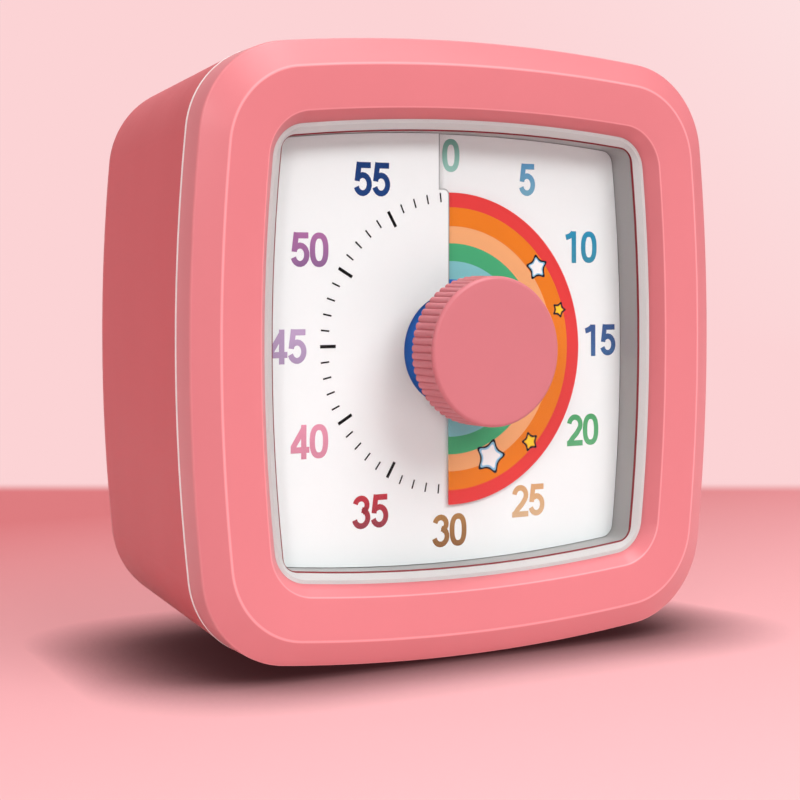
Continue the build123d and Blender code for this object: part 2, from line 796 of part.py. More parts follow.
coil_axis_y = edge_y + stator_depth + stator_thickness / 2
with BuildPart() as coil:
    with BuildSketch(Plane(origin=(core_x, coil_axis_y, axis_z + core_z), z_dir=(1, 0, 0))):
        Circle(coil_radius)
    extrude(amount=coil_length / 2, both=True)
    for side in (-1, 1):
        flange_x = core_x + side * (coil_length - coil_flange_thickness) / 2
        with BuildSketch(Plane(origin=(flange_x, coil_axis_y, axis_z + core_z), z_dir=(1, 0, 0))):
            Circle(coil_flange_radius)
        extrude(amount=coil_flange_thickness / 2, both=True)
    with BuildSketch(layer(stator_depth + stator_thickness + seat_clearance)):
        with Locations((core_x, core_z)):
            Rectangle(coil_length, core_width + 2 * seat_clearance)
    extrude(amount=stator_thickness + 2 * seat_clearance, mode=Mode.SUBTRACT)
save(coil, "coil")

# ---- gear bridge -------------------------------------------------------------------------------------
with BuildPart() as gear_bridge:
    with BuildSketch(layer(case_split_depth)):
        RectangleRounded(
            2 * (case_inner_half - seat_clearance), 2 * (case_inner_half - seat_clearance), case_inner_corner
        )
        Circle(spindle_radius + running_fit, mode=Mode.SUBTRACT)
        with Locations(*arbor_places):
            Circle(pivot_radius + running_fit, mode=Mode.SUBTRACT)
        with Locations((core_x, core_z)):
            Rectangle(coil_length + coil_yoke_gap, 2 * (coil_radius + coil_yoke_gap), mode=Mode.SUBTRACT)
    extrude(amount=bridge_thickness)
save(gear_bridge, "gear_bridge")

# ---- movement case ------------------------------------------------------------------------------------
with BuildPart() as movement_case_front:
    with BuildSketch(layer(case_split_depth)):
        RectangleRounded(2 * movement_half, 2 * movement_half, movement_corner)
    extrude(amount=case_split_depth - case_front_depth)
    with BuildSketch(layer(case_split_depth)):
        RectangleRounded(2 * case_inner_half, 2 * case_inner_half, case_inner_corner)
    extrude(amount=case_split_depth - case_front_depth - case_wall, mode=Mode.SUBTRACT)
    # Corner posts carry the bridge.
    with BuildSketch(layer(bridge_depth)):
        with GridLocations(2 * case_inner_half - case_post, 2 * case_inner_half - case_post, 2, 2):
            Rectangle(case_post, case_post)
    extrude(amount=bridge_depth - case_front_depth - case_wall)
    with BuildSketch(layer(lug_face_depth + lug_thickness)):
        with Locations(*lug_places):
            Rectangle(lug_length, lug_width)
            Circle(small_screw_radius + screw_fit, mode=Mode.SUBTRACT)
    extrude(amount=lug_thickness)
    with BuildSketch(layer(case_front_depth + case_wall)):
        Circle(spindle_radius + running_fit)
    extrude(amount=case_wall, mode=Mode.SUBTRACT)
    with BuildSketch(layer(case_front_depth + case_wall)):
        with Locations(*arbor_places):
            Circle(pivot_radius + running_fit)
    extrude(amount=pivot_length + running_fit, mode=Mode.SUBTRACT)
    fillet(movement_case_front.edges().filter_by(Axis.X).group_by(Axis.Y)[0], case_wall / 3)
save(movement_case_front, "movement_case_front")

case_rear_wall_depth = case_rear_depth - case_wall
with BuildPart() as movement_case_back:
    with BuildSketch(layer(case_rear_depth)):
        RectangleRounded(2 * movement_half, 2 * movement_half, movement_corner)
    extrude(amount=case_rear_depth - case_split_depth)
    with BuildSketch(layer(case_rear_wall_depth)):
        RectangleRounded(2 * case_inner_half, 2 * case_inner_half, case_inner_corner)
    extrude(amount=case_rear_wall_depth - case_split_depth, mode=Mode.SUBTRACT)
    with BuildSketch(layer(case_rear_depth)):
        Circle(spindle_radius + running_fit)
    extrude(amount=case_wall, mode=Mode.SUBTRACT)
save(movement_case_back, "movement_case_back")

# ---- circuit board and what it carries ------------------------------------------------------------------
board_front_depth = case_rear_wall_depth - board_thickness
with BuildPart() as circuit_board:
    with BuildSketch(layer(case_rear_wall_depth)):
        with Locations((0, board_z)):
            RectangleRounded(board_width, board_height, board_corner)
    extrude(amount=board_thickness)
save(circuit_board, "circuit_board")

with BuildPart() as control_chip:
    with BuildSketch(layer(board_front_depth)):
        with Locations((chip_x, board_z)):
            Circle(chip_radius)
    extrude(amount=chip_height)
    fillet(control_chip.edges().sort_by(Axis.Y)[0], chip_round)
save(control_chip, "control_chip")

with BuildPart() as quartz_crystal:
    crystal_y = edge_y + board_front_depth - crystal_radius
    with BuildSketch(Plane(origin=(crystal_x, crystal_y, axis_z + board_z), z_dir=(1, 0, 0))):
        Circle(crystal_radius)
    extrude(amount=crystal_length / 2, both=True)
save(quartz_crystal, "quartz_crystal")

# ---- rear shell ---------------------------------------------------------------------------------------
inner_rear_depth = rear_depth - shell_wall
bay_outer_width = 2 * (bay_half_width + bay_wall)
bay_outer_height = 2 * (bay_half_height + bay_wall)
door_seat_depth = rear_depth - door_thickness - seat_clearance
hinge_z = bay_z - bay_outer_height / 2 + door_clearance + door_thickness / 2
hinge_depth = rear_depth - door_thickness / 2
pin_reach = bay_outer_width / 2 + door_pin_length - door_clearance
collar_length = switch_body_length + 2 * seat_clearance
collar_height = switch_body_height + 2 * seat_clearance
collar_front_depth = inner_rear_depth - switch_gap - switch_body_thickness / 2
holder_front_depth = inner_rear_depth - buzzer_thickness
grille_places = [
    step((0, 0), grille_pitch * ring, 60 * turn / ring)
    for ring in range(1, grille_rings + 1)
    for turn in range(6 * ring)
]


def housing_section(depth, wall=0.0):
    """Outline of the tapered housing at a depth, moved in by a wall."""
    share = (depth - seam_depth) / (rear_depth - seam_depth)
    corner = seam_corner + share * (rear_corner - seam_corner)
    return squircle(draft_half(depth) - wall, corner - wall)


with BuildPart() as rear_shell:
    with BuildSketch(layer(rear_depth)):
        add(housing_section(rear_depth))
    with BuildSketch(layer(flange_rear_depth)):
        add(housing_section(flange_rear_depth))
    loft(ruled=True)
    fillet(rear_shell.faces().sort_by(Axis.Y)[-1].edges(), rear_round)
    # Two moulded feet level the tapered underside.
    with BuildSketch(Plane.XY):
        with Locations((0, edge_y + (foot_front_depth + foot_rear_depth) / 2)):
            with GridLocations(foot_spacing, 1, 2, 1):
                SlotOverall(foot_rear_depth - foot_front_depth, foot_width, rotation=90)
    extrude(amount=rear_inset + foot_drop + shell_wall)
    with BuildSketch(layer(inner_rear_depth)):
        add(housing_section(inner_rear_depth, shell_wall))
    with BuildSketch(layer(flange_rear_depth)):
        add(housing_section(flange_rear_depth, shell_wall))
    loft(ruled=True, mode=Mode.SUBTRACT)
    # Screw posts.
    with BuildSketch(layer(inner_rear_depth)):
        with Locations(*rear_screw_places):
            Circle(post_radius)
    extrude(amount=inner_rear_depth - post_end_depth)
    with BuildSketch(layer(rear_depth)):
        with Locations(*rear_screw_places):
            Circle(screw_radius + screw_fit)
    extrude(amount=rear_depth - post_end_depth, mode=Mode.SUBTRACT)
    with BuildSketch(layer(rear_depth)):
        with Locations(*rear_screw_places):
            Circle(counterbore_radius)
    extrude(amount=rear_depth - post_end_depth - post_floor, mode=Mode.SUBTRACT)
    # Battery bay, the seat of its door and the holes of the door's pins.
    with BuildSketch(layer(door_seat_depth)):
        with Locations((0, bay_z)):
            Rectangle(bay_outer_width, bay_outer_height)
    extrude(amount=door_seat_depth - bay_front_depth + bay_wall)
    with BuildSketch(layer(rear_depth)):
        with Locations((0, bay_z)):
            Rectangle(bay_outer_width, bay_outer_height)
    extrude(amount=rear_depth - door_seat_depth, mode=Mode.SUBTRACT)
    with BuildSketch(layer(rear_depth)):
        with Locations((0, bay_z)):
            Rectangle(2 * bay_half_width, 2 * bay_half_height)
    extrude(amount=rear_depth - bay_front_depth, mode=Mode.SUBTRACT)
    with BuildSketch(Plane(origin=(0, edge_y + hinge_depth, axis_z + hinge_z), z_dir=(1, 0, 0))):
        Circle(door_pin_radius + running_fit)
    extrude(amount=pin_reach + running_fit, both=True, mode=Mode.SUBTRACT)
    # Holder and grille of the buzzer.
    with BuildSketch(layer(inner_rear_depth)):
        with Locations((buzzer_x, buzzer_z)):
            Circle(buzzer_radius + seat_clearance + buzzer_ring_wall)
            Circle(buzzer_radius + seat_clearance, mode=Mode.SUBTRACT)
    extrude(amount=inner_rear_depth - holder_front_depth)
    with BuildSketch(layer(rear_depth)):
        with Locations((buzzer_x, buzzer_z)):
            Circle(grille_hole_radius)
            with Locations(*grille_places):
                Circle(grille_hole_radius)
    extrude(amount=shell_wall, mode=Mode.SUBTRACT)
    # Collar and slot of the volume switch.
    with BuildSketch(layer(inner_rear_depth)):
        with Locations((switch_x, switch_z)):
            Rectangle(collar_length + 2 * collar_wall, collar_height + 2 * collar_wall)
            Rectangle(collar_length, collar_height, mode=Mode.SUBTRACT)
    extrude(amount=inner_rear_depth - collar_front_depth)
    with BuildSketch(layer(rear_depth)):
        with Locations((switch_x, switch_z)):
            Rectangle(slot_length, slot_height)
    extrude(amount=shell_wall, mode=Mode.SUBTRACT)
save(rear_shell, "rear_shell")

# ---- battery door: it swings on two pins at its lower edge ----------------------------------------------
door_half_width = bay_outer_width / 2 - door_clearance
door_top = bay_z + bay_outer_height / 2 - door_clearance
door_height = door_top - hinge_z
with BuildPart() as battery_door:
    with BuildSketch(layer(rear_depth)):
        with Locations((0, hinge_z + door_height / 2)):
            Rectangle(2 * door_half_width, door_height)
    extrude(amount=door_thickness)
    with BuildSketch(Plane(origin=(0, edge_y + hinge_depth, axis_z + hinge_z), z_dir=(1, 0, 0))):
        Circle(door_thickness / 2)
    extrude(amount=door_half_width, both=True)
    with BuildSketch(Plane(origin=(0, edge_y + hinge_depth, axis_z + hinge_z), z_dir=(1, 0, 0))):
        Circle(door_pin_radius)
    extrude(amount=pin_reach, both=True)
    # Two slits free the latch finger, and ridges give the thumb a grip.
    with BuildSketch(layer(rear_depth)):
        with Locations((0, door_top - door_finger_length / 2)):
            with GridLocations(door_finger_width + door_finger_gap, 1, 2, 1):
                Rectangle(door_finger_gap, door_finger_length)
    extrude(amount=door_thickness, mode=Mode.SUBTRACT)
    with BuildSketch(layer(rear_depth + door_ridge_height)):
        with Locations((0, door_top - door_finger_length - door_groove_pitch * door_groove_count / 2)):
            with GridLocations(1, door_groove_pitch, 1, door_groove_count):
                Rectangle(door_finger_width, door_groove_pitch / 2)
    extrude(amount=door_ridge_height)
save(battery_door, "battery_door")

# ---- cell and its contacts ------------------------------------------------------------------------------
cell_end = bay_half_width - 2 * contact_thickness - cell_nub_length
with BuildPart() as battery_cell:
    with BuildSketch(Plane(origin=(cell_end, edge_y + cell_depth, axis_z + bay_z), z_dir=(-1, 0, 0))):
        Circle(cell_radius)
    extrude(amount=cell_length)
    fillet(battery_cell.edges().filter_by(GeomType.CIRCLE), cell_round)
    with BuildSketch(Plane(origin=(cell_end, edge_y + cell_depth, axis_z + bay_z), z_dir=(1, 0, 0))):
        Circle(cell_nub_radius)
    extrude(amount=cell_nub_length)
save(battery_cell, "battery_cell")


def contact_plate(x):
    """Sprung-in contact plate at an end of the bay."""
    with BuildPart(mode=Mode.PRIVATE) as plate:
        with BuildSketch(Plane(origin=(x, edge_y + cell_depth, axis_z + bay_z), z_dir=(1, 0, 0))):
            RectangleRounded(contact_width, contact_width, contact_thickness)
        extrude(amount=contact_thickness / 2, both=True)
    return plate.part


with BuildPart() as battery_contact_positive:
    add(contact_plate(bay_half_width - contact_thickness / 2 - seat_clearance))
save(battery_contact_positive, "battery_contact_positive")

spring_start = -bay_half_width + contact_thickness + seat_clearance
spring_room = cell_end - cell_length - spring_start - 2 * spring_wire_radius
with BuildPart() as battery_spring:
    add(contact_plate(spring_start - contact_thickness / 2))
    coil_plane = Plane(
        origin=(spring_start + spring_wire_radius / 2, edge_y + cell_depth, axis_z + bay_z), z_dir=(1, 0, 0)
    )
    turns = coil_plane * Helix(
        pitch=spring_room / spring_turns, height=spring_room, radius=spring_radius - spring_wire_radius
    )
    with BuildSketch(Plane(origin=turns @ 0, z_dir=turns % 0)):
        Circle(spring_wire_radius)
    sweep(path=turns, is_frenet=True)
save(battery_spring, "battery_spring")

# ---- buzzer ---------------------------------------------------------------------------------------------
with BuildPart() as piezo_buzzer:
    with BuildSketch(layer(inner_rear_depth - seat_clearance)):
        with Locations((buzzer_x, buzzer_z)):
            Circle(buzzer_radius)
    extrude(amount=buzzer_thickness)
    with BuildSketch(layer(inner_rear_depth)):
        with Locations((buzzer_x, buzzer_z)):
            Circle(buzzer_port_radius)
    extrude(amount=buzzer_thickness / 2, mode=Mode.SUBTRACT)
save(piezo_buzzer, "piezo_buzzer")

# ---- volume switch: the slider's foot runs in a channel of the switch body --------------------------------
switch_rear_depth = inner_rear_depth - switch_gap
channel_depth = switch_body_thickness / 2
foot_length = slider_length + 2 * slider_foot_margin
with BuildPart() as volume_switch_body:
    with BuildSketch(layer(switch_rear_depth)):
        with Locations((switch_x, switch_z)):
            Rectangle(switch_body_length, switch_body_height)
    extrude(amount=switch_body_thickness)
    with BuildSketch(layer(switch_rear_depth)):
        with Locations((switch_x, switch_z)):
            Rectangle(foot_length + slider_travel + 2 * slider_clearance, slot_height)
    extrude(amount=channel_depth, mode=Mode.SUBTRACT)
save(volume_switch_body, "volume_switch_body")

with BuildPart() as volume_slider:
    with BuildSketch(layer(switch_rear_depth)):
        with Locations((switch_x, switch_z)):
            Rectangle(foot_length, slot_height - 2 * slider_clearance)
    extrude(amount=channel_depth - slider_clearance)
    with BuildSketch(layer(rear_depth + slider_reach)):
        with Locations((switch_x, switch_z)):
            Rectangle(slider_length, slot_height - 2 * slider_clearance)
    extrude(amount=rear_depth + slider_reach - switch_rear_depth)
    fillet(volume_slider.faces().sort_by(Axis.Y)[-1].edges().filter_by(Axis.Z), slider_round)
save(volume_slider, "volume_slider")


# ---- screws -----------------------------------------------------------------------------------------------
def screws(places, seat_depth, length, shank_radius, head_radius, head_height):
    """Group of equal screws driven from behind, with their heads seated at a depth."""
    with BuildPart() as group:
        with BuildSketch(layer(seat_depth + head_height)):
            with Locations(*places):
                Circle(head_radius)
        extrude(amount=head_height)
        fillet(group.faces().sort_by(Axis.Y)[-len(places) :].edges(), head_height / 3)
        with BuildSketch(layer(seat_depth)):
            with Locations(*places):
                Circle(shank_radius)
        extrude(amount=length)
    return group


rear_screws = screws(
    rear_screw_places,
    post_end_depth + post_floor,
    rear_screw_length,
    screw_radius,
    screw_head_radius,
    screw_head_height,
)
save(rear_screws, "rear_screws")
small_screw = (small_screw_radius, small_screw_head_radius, small_screw_head_height)
chassis_screws = screws(ear_places, chassis_rear_depth, chassis_screw_length, *small_screw)
save(chassis_screws, "chassis_screws")
movement_screws = screws(lug_places, lug_face_depth + lug_thickness, movement_screw_length, *small_screw)
save(movement_screws, "movement_screws")
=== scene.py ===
"""Looks of a visual countdown timer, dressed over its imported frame.

Lengths in the classes are millimetres. A depth is measured backwards from the plane of the bezel's outer
edge, and x and z are measured from the dial's axis. Angles on the dial are degrees clockwise from 12 o'clock.
"""

import logging
from dataclasses import dataclass, field
from enum import Enum
from math import atan2, cos, degrees, hypot, pi, radians, sin, sqrt
from typing import Callable, Iterable, Sequence

import bmesh
import bpy
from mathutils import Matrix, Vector


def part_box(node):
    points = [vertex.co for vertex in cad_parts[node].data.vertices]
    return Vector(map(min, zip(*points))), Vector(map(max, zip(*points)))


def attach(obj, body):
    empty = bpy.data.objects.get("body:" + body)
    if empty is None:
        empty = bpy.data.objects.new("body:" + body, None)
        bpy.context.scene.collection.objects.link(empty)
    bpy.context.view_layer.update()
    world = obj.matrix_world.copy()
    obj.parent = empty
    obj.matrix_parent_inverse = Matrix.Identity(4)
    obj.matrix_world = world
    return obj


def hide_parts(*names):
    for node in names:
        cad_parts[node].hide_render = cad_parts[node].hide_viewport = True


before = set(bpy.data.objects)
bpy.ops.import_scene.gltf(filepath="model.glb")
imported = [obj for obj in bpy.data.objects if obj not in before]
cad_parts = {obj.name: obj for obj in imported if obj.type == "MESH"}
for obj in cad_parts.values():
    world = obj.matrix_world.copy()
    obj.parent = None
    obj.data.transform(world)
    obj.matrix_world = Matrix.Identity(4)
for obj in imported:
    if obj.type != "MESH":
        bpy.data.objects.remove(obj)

MM = 0.001
CREASE_RISE = 2.1
log = logging.getLogger("timer")

Colour = tuple[float, float, float]
Place = tuple[float, float]


def srgb(red: int, green: int, blue: int) -> Colour:
    """Linear colour of three 8-bit values.

    Args:
        red: Red, from 0 to 255.
        green: Green, from 0 to 255.
        blue: Blue, from 0 to 255.

    Returns:
        The linear colour.
    """
    shares = (value / 255 for value in (red, green, blue))
    return tuple(s / 12.92 if s <= 0.04045 else ((s + 0.055) / 1.055) ** 2.4 for s in shares)


# ---- places on the timer ---------------------------------------------------------------------


@dataclass(frozen=True)
class Datum:
    """The dial's axis and the bezel's edge plane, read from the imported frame."""

    edge_y: float
    axis_z: float
    edge_half: float

    @classmethod
    def from_frame(cls) -> "Datum":
        """Reads the datum from the box of the front bezel."""
        low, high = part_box("front_bezel")
        return cls(low.y / MM + CREASE_RISE, (low.z + high.z) / 2 / MM, high.x / MM)

    def point(self, x: float, depth: float, z: float) -> Vector:
        """Place in the row frame, in metres, of a place on the timer."""
        return Vector((x, self.edge_y + depth, self.axis_z + z)) * MM


@dataclass(frozen=True)
class Helicoid:
    """Front surface of a thin sheet that climbs clockwise towards the viewer."""

    mean_depth: float
    rise: float
    first_angle: float

    def depth(self, x: float, z: float) -> float:
        """Depth of the surface at a place on the dial."""
        angle = (degrees(atan2(x, z)) - self.first_angle) % 360 + self.first_angle
        return self.mean_depth - self.rise * angle / 360


@dataclass(frozen=True)
class Outline:
    """Square with bowed sides and round corners, tangent all round."""

    half: float
    corner: float
    bow: float = 280.0

    def points(self, per_side: int, per_corner: int) -> list[tuple[float, float]]:
        """Places along the outline, anticlockwise from the middle of the right side.

        Args:
            per_side: Number of steps along one bowed side.
            per_corner: Number of steps round one corner.

        Returns:
            The x and z of each place.
        """
        flat = self.half - self.bow
        reach = (flat + sqrt(2 * (self.bow - self.corner) ** 2 - flat**2)) / 2
        turn = atan2(reach, reach - flat)
        quarter = []
        for step in range(per_side):
            angle = turn * (2 * step / per_side - 1)
            quarter.append((flat + self.bow * cos(angle), self.bow * sin(angle)))
        for step in range(per_corner):
            angle = turn + (pi / 2 - 2 * turn) * step / per_corner
            quarter.append((reach + self.corner * cos(angle), reach + self.corner * sin(angle)))
        whole = []
        for _ in range(4):
            whole += quarter
            quarter = [(-z, x) for x, z in quarter]
        return whole


# ---- shader recipes --------------------------------------------------------------------------


class Signal:
    """A shader socket that adds Math nodes to its tree as it is computed with."""

    def __init__(self, recipe: "Recipe", socket: bpy.types.NodeSocket) -> None:
        """Wraps a socket of a recipe's tree."""
        self.recipe = recipe
        self.socket = socket

    def _math(self, operation: str, *values: "Signal | float") -> "Signal":
        """Math node on values, in the order given."""
        node = self.recipe.node("ShaderNodeMath", {"operation": operation}, dict(enumerate(values)))
        return Signal(self.recipe, node.outputs[0])

    def __add__(self, other: "Signal | float") -> "Signal":
        """Sum."""
        return self._math("ADD", self, other)

    __radd__ = __add__

    def __sub__(self, other: "Signal | float") -> "Signal":
        """Difference."""
        return self._math("SUBTRACT", self, other)

    def __rsub__(self, other: float) -> "Signal":
        """Difference from a number."""
        return self._math("SUBTRACT", other, self)

    def __mul__(self, other: "Signal | float") -> "Signal":
        """Product."""
        return self._math("MULTIPLY", self, other)

    __rmul__ = __mul__

    def __truediv__(self, other: "Signal | float") -> "Signal":
        """Quotient."""
        return self._math("DIVIDE", self, other)

    def __pow__(self, other: float) -> "Signal":
        """Power."""
        return self._math("POWER", self, other)

    def __abs__(self) -> "Signal":
        """Size without its sign."""
        return self._math("ABSOLUTE", self)

    def __lt__(self, other: "Signal | float") -> "Signal":
        """1 where it is less, else 0."""
        return self._math("LESS_THAN", self, other)

    def __gt__(self, other: "Signal | float") -> "Signal":
        """1 where it is greater, else 0."""
        return self._math("GREATER_THAN", self, other)

    def length(self, other: "Signal") -> "Signal":
        """Length of the hypotenuse on this and another side."""
        return (self * self + other * other)._math("SQRT", self * self + other * other)

    def least(self, other: "Signal | float") -> "Signal":
        """The lesser of this and another."""
        return self._math("MINIMUM", self, other)

    def most(self, other: "Signal | float") -> "Signal":
        """The greater of this and another."""
        return self._math("MAXIMUM", self, other)

    def sine(self) -> "Signal":
        """Sine."""
        return self._math("SINE", self)

    def between(self, low: float, high: float) -> "Signal":
        """1 from low to high, else 0."""
        return (self > low) * (self < high)


@dataclass
class Recipe:
    """A material under construction."""

    name: str
    material: bpy.types.Material = field(init=False)

    def __post_init__(self) -> None:
        """Makes an empty material."""
        self.material = bpy.data.materials.new(self.name)
        self.material.use_nodes = True
        self.tree = self.material.node_tree
        self.tree.nodes.clear()

    def node(self, kind: str, settings: dict | None = None, inputs: dict | None = None) -> bpy.types.Node:
        """Adds a node.

        Args:
            kind: The node's type.
            settings: Properties that are set before its sockets. stops holds a ramp's positions and colours.
            inputs: Value, signal or socket for each input, by name or number.

        Returns:
            The node.
        """
        made = self.tree.nodes.new(kind)
        for key, value in (settings or {}).items():
            if key == "stops":
                self._ramp(made.color_ramp, value)
            else:
                setattr(made, key, value)
        for key, value in (inputs or {}).items():
            source = value.socket if isinstance(value, Signal) else value
            if isinstance(source, bpy.types.NodeSocket):
                self.tree.links.new(source, made.inputs[key])
            else:
                flat = (*source, 1.0) if self._is_colour(made, key, source) else source
                made.inputs[key].default_value = flat
        return made

    @staticmethod
    def _is_colour(node: bpy.types.Node, key: str | int, value: object) -> bool:
        """True where three numbers go into a colour socket."""
        return node.inputs[key].type == "RGBA" and isinstance(value, tuple) and len(value) == 3

    @staticmethod
    def _ramp(ramp: bpy.types.ColorRamp, stops: Sequence[tuple[float, Colour]]) -> None:
        """Gives a ramp hard steps at the stops."""
        ramp.interpolation = "CONSTANT"
        for position, colour in stops[2:]:
            ramp.elements.new(position)
        for element, (position, colour) in zip(ramp.elements, stops):
            element.position = position
            element.color = (*colour, 1.0)

    def place(self) -> tuple[Signal, Signal, Signal]:
        """Object coordinates in millimetres."""
        coordinate = self.node("ShaderNodeTexCoord")
        split = self.node("ShaderNodeSeparateXYZ", inputs={0: coordinate.outputs["Object"]})
        x, y, z = (Signal(self, split.outputs[axis]) / MM for axis in range(3))
        return x, y, z

    def noise(self, grain: float, detail: float = 3.0, stretch: Colour = (1.0, 1.0, 1.0)) -> Signal:
        """Noise about 0.5.

        Args:
            grain: Size of its blotches, in millimetres.
            detail: Number of finer layers.
            stretch: Scale along each axis, smaller for longer blotches.

        Returns:
            The noise.
        """
        coordinate = self.node("ShaderNodeTexCoord")
        place = coordinate.outputs["Object"]
        mapping = self.node("ShaderNodeMapping", inputs={0: place, "Scale": stretch})
        scale = 1 / (grain * MM)
        inputs = {"Vector": mapping.outputs[0], "Scale": scale, "Detail": detail}
        return Signal(self, self.node("ShaderNodeTexNoise", inputs=inputs).outputs[0])

    def mix(self, share: Signal | float, first: object, second: object) -> bpy.types.NodeSocket:
        """Colour that goes from first to second as share goes from 0 to 1."""
        node = self.node("ShaderNodeMix", {"data_type": "RGBA"}, {0: share, 6: first, 7: second})
        return node.outputs[2]

    def bump(self, height: Signal, distance: float) -> bpy.types.NodeSocket:
        """Normal of a surface whose height runs from 0 to a distance in millimetres."""
        inputs = {"Height": height, "Distance": distance * MM, "Strength": 1.0}
        return self.node("ShaderNodeBump", inputs=inputs).outputs[0]

    def shader(self, **values: object) -> bpy.types.NodeSocket:
        """Principled shader with values for sockets whose names hold underscores for spaces."""
        inputs = {key.replace("_", " "): value for key, value in values.items()}
        return self.node("ShaderNodeBsdfPrincipled", inputs=inputs).outputs[0]

    def finish(self, surface: bpy.types.NodeSocket) -> bpy.types.Material:
        """Links the surface to the output and hands over the material."""
        self.node("ShaderNodeOutputMaterial", inputs={0: surface})
        return self.material


# ---- finishes --------------------------------------------------------------------------------


@dataclass(frozen=True)
class MouldedPlastic:
    """Plastic with the fine sparked grain and the faint flow marks of a mould."""

    name: str
    colour: Colour
    roughness: float = 0.38
    grain: float = 0.16
    grain_height: float = 0.004
    mottle: float = 0.04
    coat: float = 0.0
    edge_layer: str = ""
    edge_colour: Colour = (1.0, 1.0, 1.0)

    def material(self) -> bpy.types.Material:
        """Builds the material, with a painted highlight where a layer of the mesh says so."""
        recipe = Recipe(self.name)
        colour: object = self.colour
        # Painted highlight: lighter towards edge_colour where the mesh's layer says so.
        if self.edge_layer:
            edge = recipe.node("ShaderNodeAttribute", {"attribute_name": self.edge_layer})
            colour = recipe.mix(Signal(recipe, edge.outputs["Fac"]), self.colour, self.edge_colour)
        return recipe.finish(self.surface(recipe, colour))

    def surface(self, recipe: Recipe, colour: object) -> bpy.types.NodeSocket:
        """Shader of this plastic in a colour, which may be a link."""
        flow = recipe.noise(9.0, 2.0, (1.0, 1.0, 0.35))
        grain = recipe.noise(self.grain, 4.0)
        return recipe.shader(
            Base_Color=recipe.mix(self.mottle * flow, colour, (0.0, 0.0, 0.0)),
            Roughness=self.roughness + 0.06 * (grain - 0.5) + 0.05 * (flow - 0.5),
            Normal=recipe.bump(grain, self.grain_height),
            Coat_Weight=self.coat,
            Coat_Roughness=0.12,
            IOR=1.42,
        )


@dataclass(frozen=True)
class LinedFramePlastic(MouldedPlastic):
    """Plastic with a thin dark red line where its rim meets its walls, walls coloured darker as painted shade
    of the recess, and a paler seam flange.
    """

    line: Colour = srgb(128, 18, 30)
    # wall: darker grey of the walls, painted shade of the recess.
    wall: Colour = srgb(168, 168, 167)
    flange: Colour = srgb(246, 240, 238)
    line_y: tuple[float, float] = (0.0, 0.0)
    axis_z: float = 0.0
    flange_reach: float = 38.0

    def material(self) -> bpy.types.Material:
        """Builds the material."""
        recipe = Recipe(self.name)
        x, y, z = recipe.place()
        # Painted shade: the walls behind the line are darker than the rim.
        wall_shaded = recipe.mix(y > self.line_y[1], self.colour, self.wall)
        outside = abs(x).most(abs(z - self.axis_z)) > self.flange_reach
        flanged = recipe.mix(outside, wall_shaded, self.flange)
        # The thin dark red line where the rim meets the walls.
        printed = recipe.mix(y.between(*self.line_y), flanged, self.line)
        return recipe.finish(self.surface(recipe, printed))


@dataclass(frozen=True)
class SlitPlatePlastic(MouldedPlastic):
    """White sheet whose flap has a straight edge, greyed along it as a painted shadow of the flap."""

    cut: Colour = srgb(60, 60, 62)
    axis_z: float = 0.0
    flap_y: float = 0.0
    edge_x: float = -0.75
    setback_x: float = -2.35
    jog_z: float = 23.2
    jog_round: float = 0.9
    pressed: float = 0.26

    def material(self) -> bpy.types.Material:
        """Builds the material."""
        recipe = Recipe(self.name)
        x, y, z = recipe.place()
        across = x - (self.edge_x - self.jog_round)
        along = z - (self.axis_z + self.jog_z - self.jog_round)
        corner = across.most(0.0).length(along.most(0.0)) + across.most(along).least(0.0) - self.jog_round
        # Painted shadow: grey along the flap's edge, fading over pressed.
        depth_in = corner.least(x - self.setback_x) * -1.0
        near = 1 - (depth_in / self.pressed).most(0.0).least(1.0)
        share = near * (y < self.flap_y) * (z > self.axis_z) * 0.9
        return recipe.finish(self.surface(recipe, recipe.mix(share, self.colour, self.cut)))


@dataclass(frozen=True)
class BandedDiscPrint:
    """Thin sheet printed with bands of colour round its centre."""

    name: str
    axis_z: float
    radius: float
    bands: tuple[tuple[float, Colour], ...]

    def material(self) -> bpy.types.Material:
        """Builds the material, whose bands start at shares of the radius."""
        recipe = Recipe(self.name)
        x, _, z = recipe.place()
        share = x.length(z - self.axis_z) / self.radius
        fray = recipe.noise(0.3, 2.0)
        ragged = share + 0.002 * (fray - 0.5)
        ramp = recipe.node("ShaderNodeValToRGB", {"stops": self.bands}, {0: ragged})
        film = recipe.noise(0.12, 3.0)
        blotch = recipe.noise(6.0, 2.0)
        printed = recipe.mix(0.06 * blotch, ramp.outputs[0], (0.0, 0.0, 0.0))
        surface = recipe.shader(
            Base_Color=printed,
            Roughness=0.5 + 0.08 * (film - 0.5),
            Normal=recipe.bump(film, 0.002),
            IOR=1.22,
        )
        return recipe.finish(surface)


@dataclass(frozen=True)
class PrintedInk:
    """Ink whose colour is stored on the printed mesh."""

    name: str
    layer: str = "ink"

    def material(self) -> bpy.types.Material:
        """Builds the material."""
        recipe = Recipe(self.name)
        colour = recipe.node("ShaderNodeAttribute", {"attribute_name": self.layer}).outputs["Color"]
        speck = recipe.noise(0.1, 3.0)
        surface = recipe.shader(
            Base_Color=recipe.mix(0.1 * speck, colour, (0.0, 0.0, 0.0)),
            Roughness=0.5 + 0.1 * (speck - 0.5),
            Normal=recipe.bump(speck, 0.001),
            IOR=1.2,
        )
        return recipe.finish(surface)


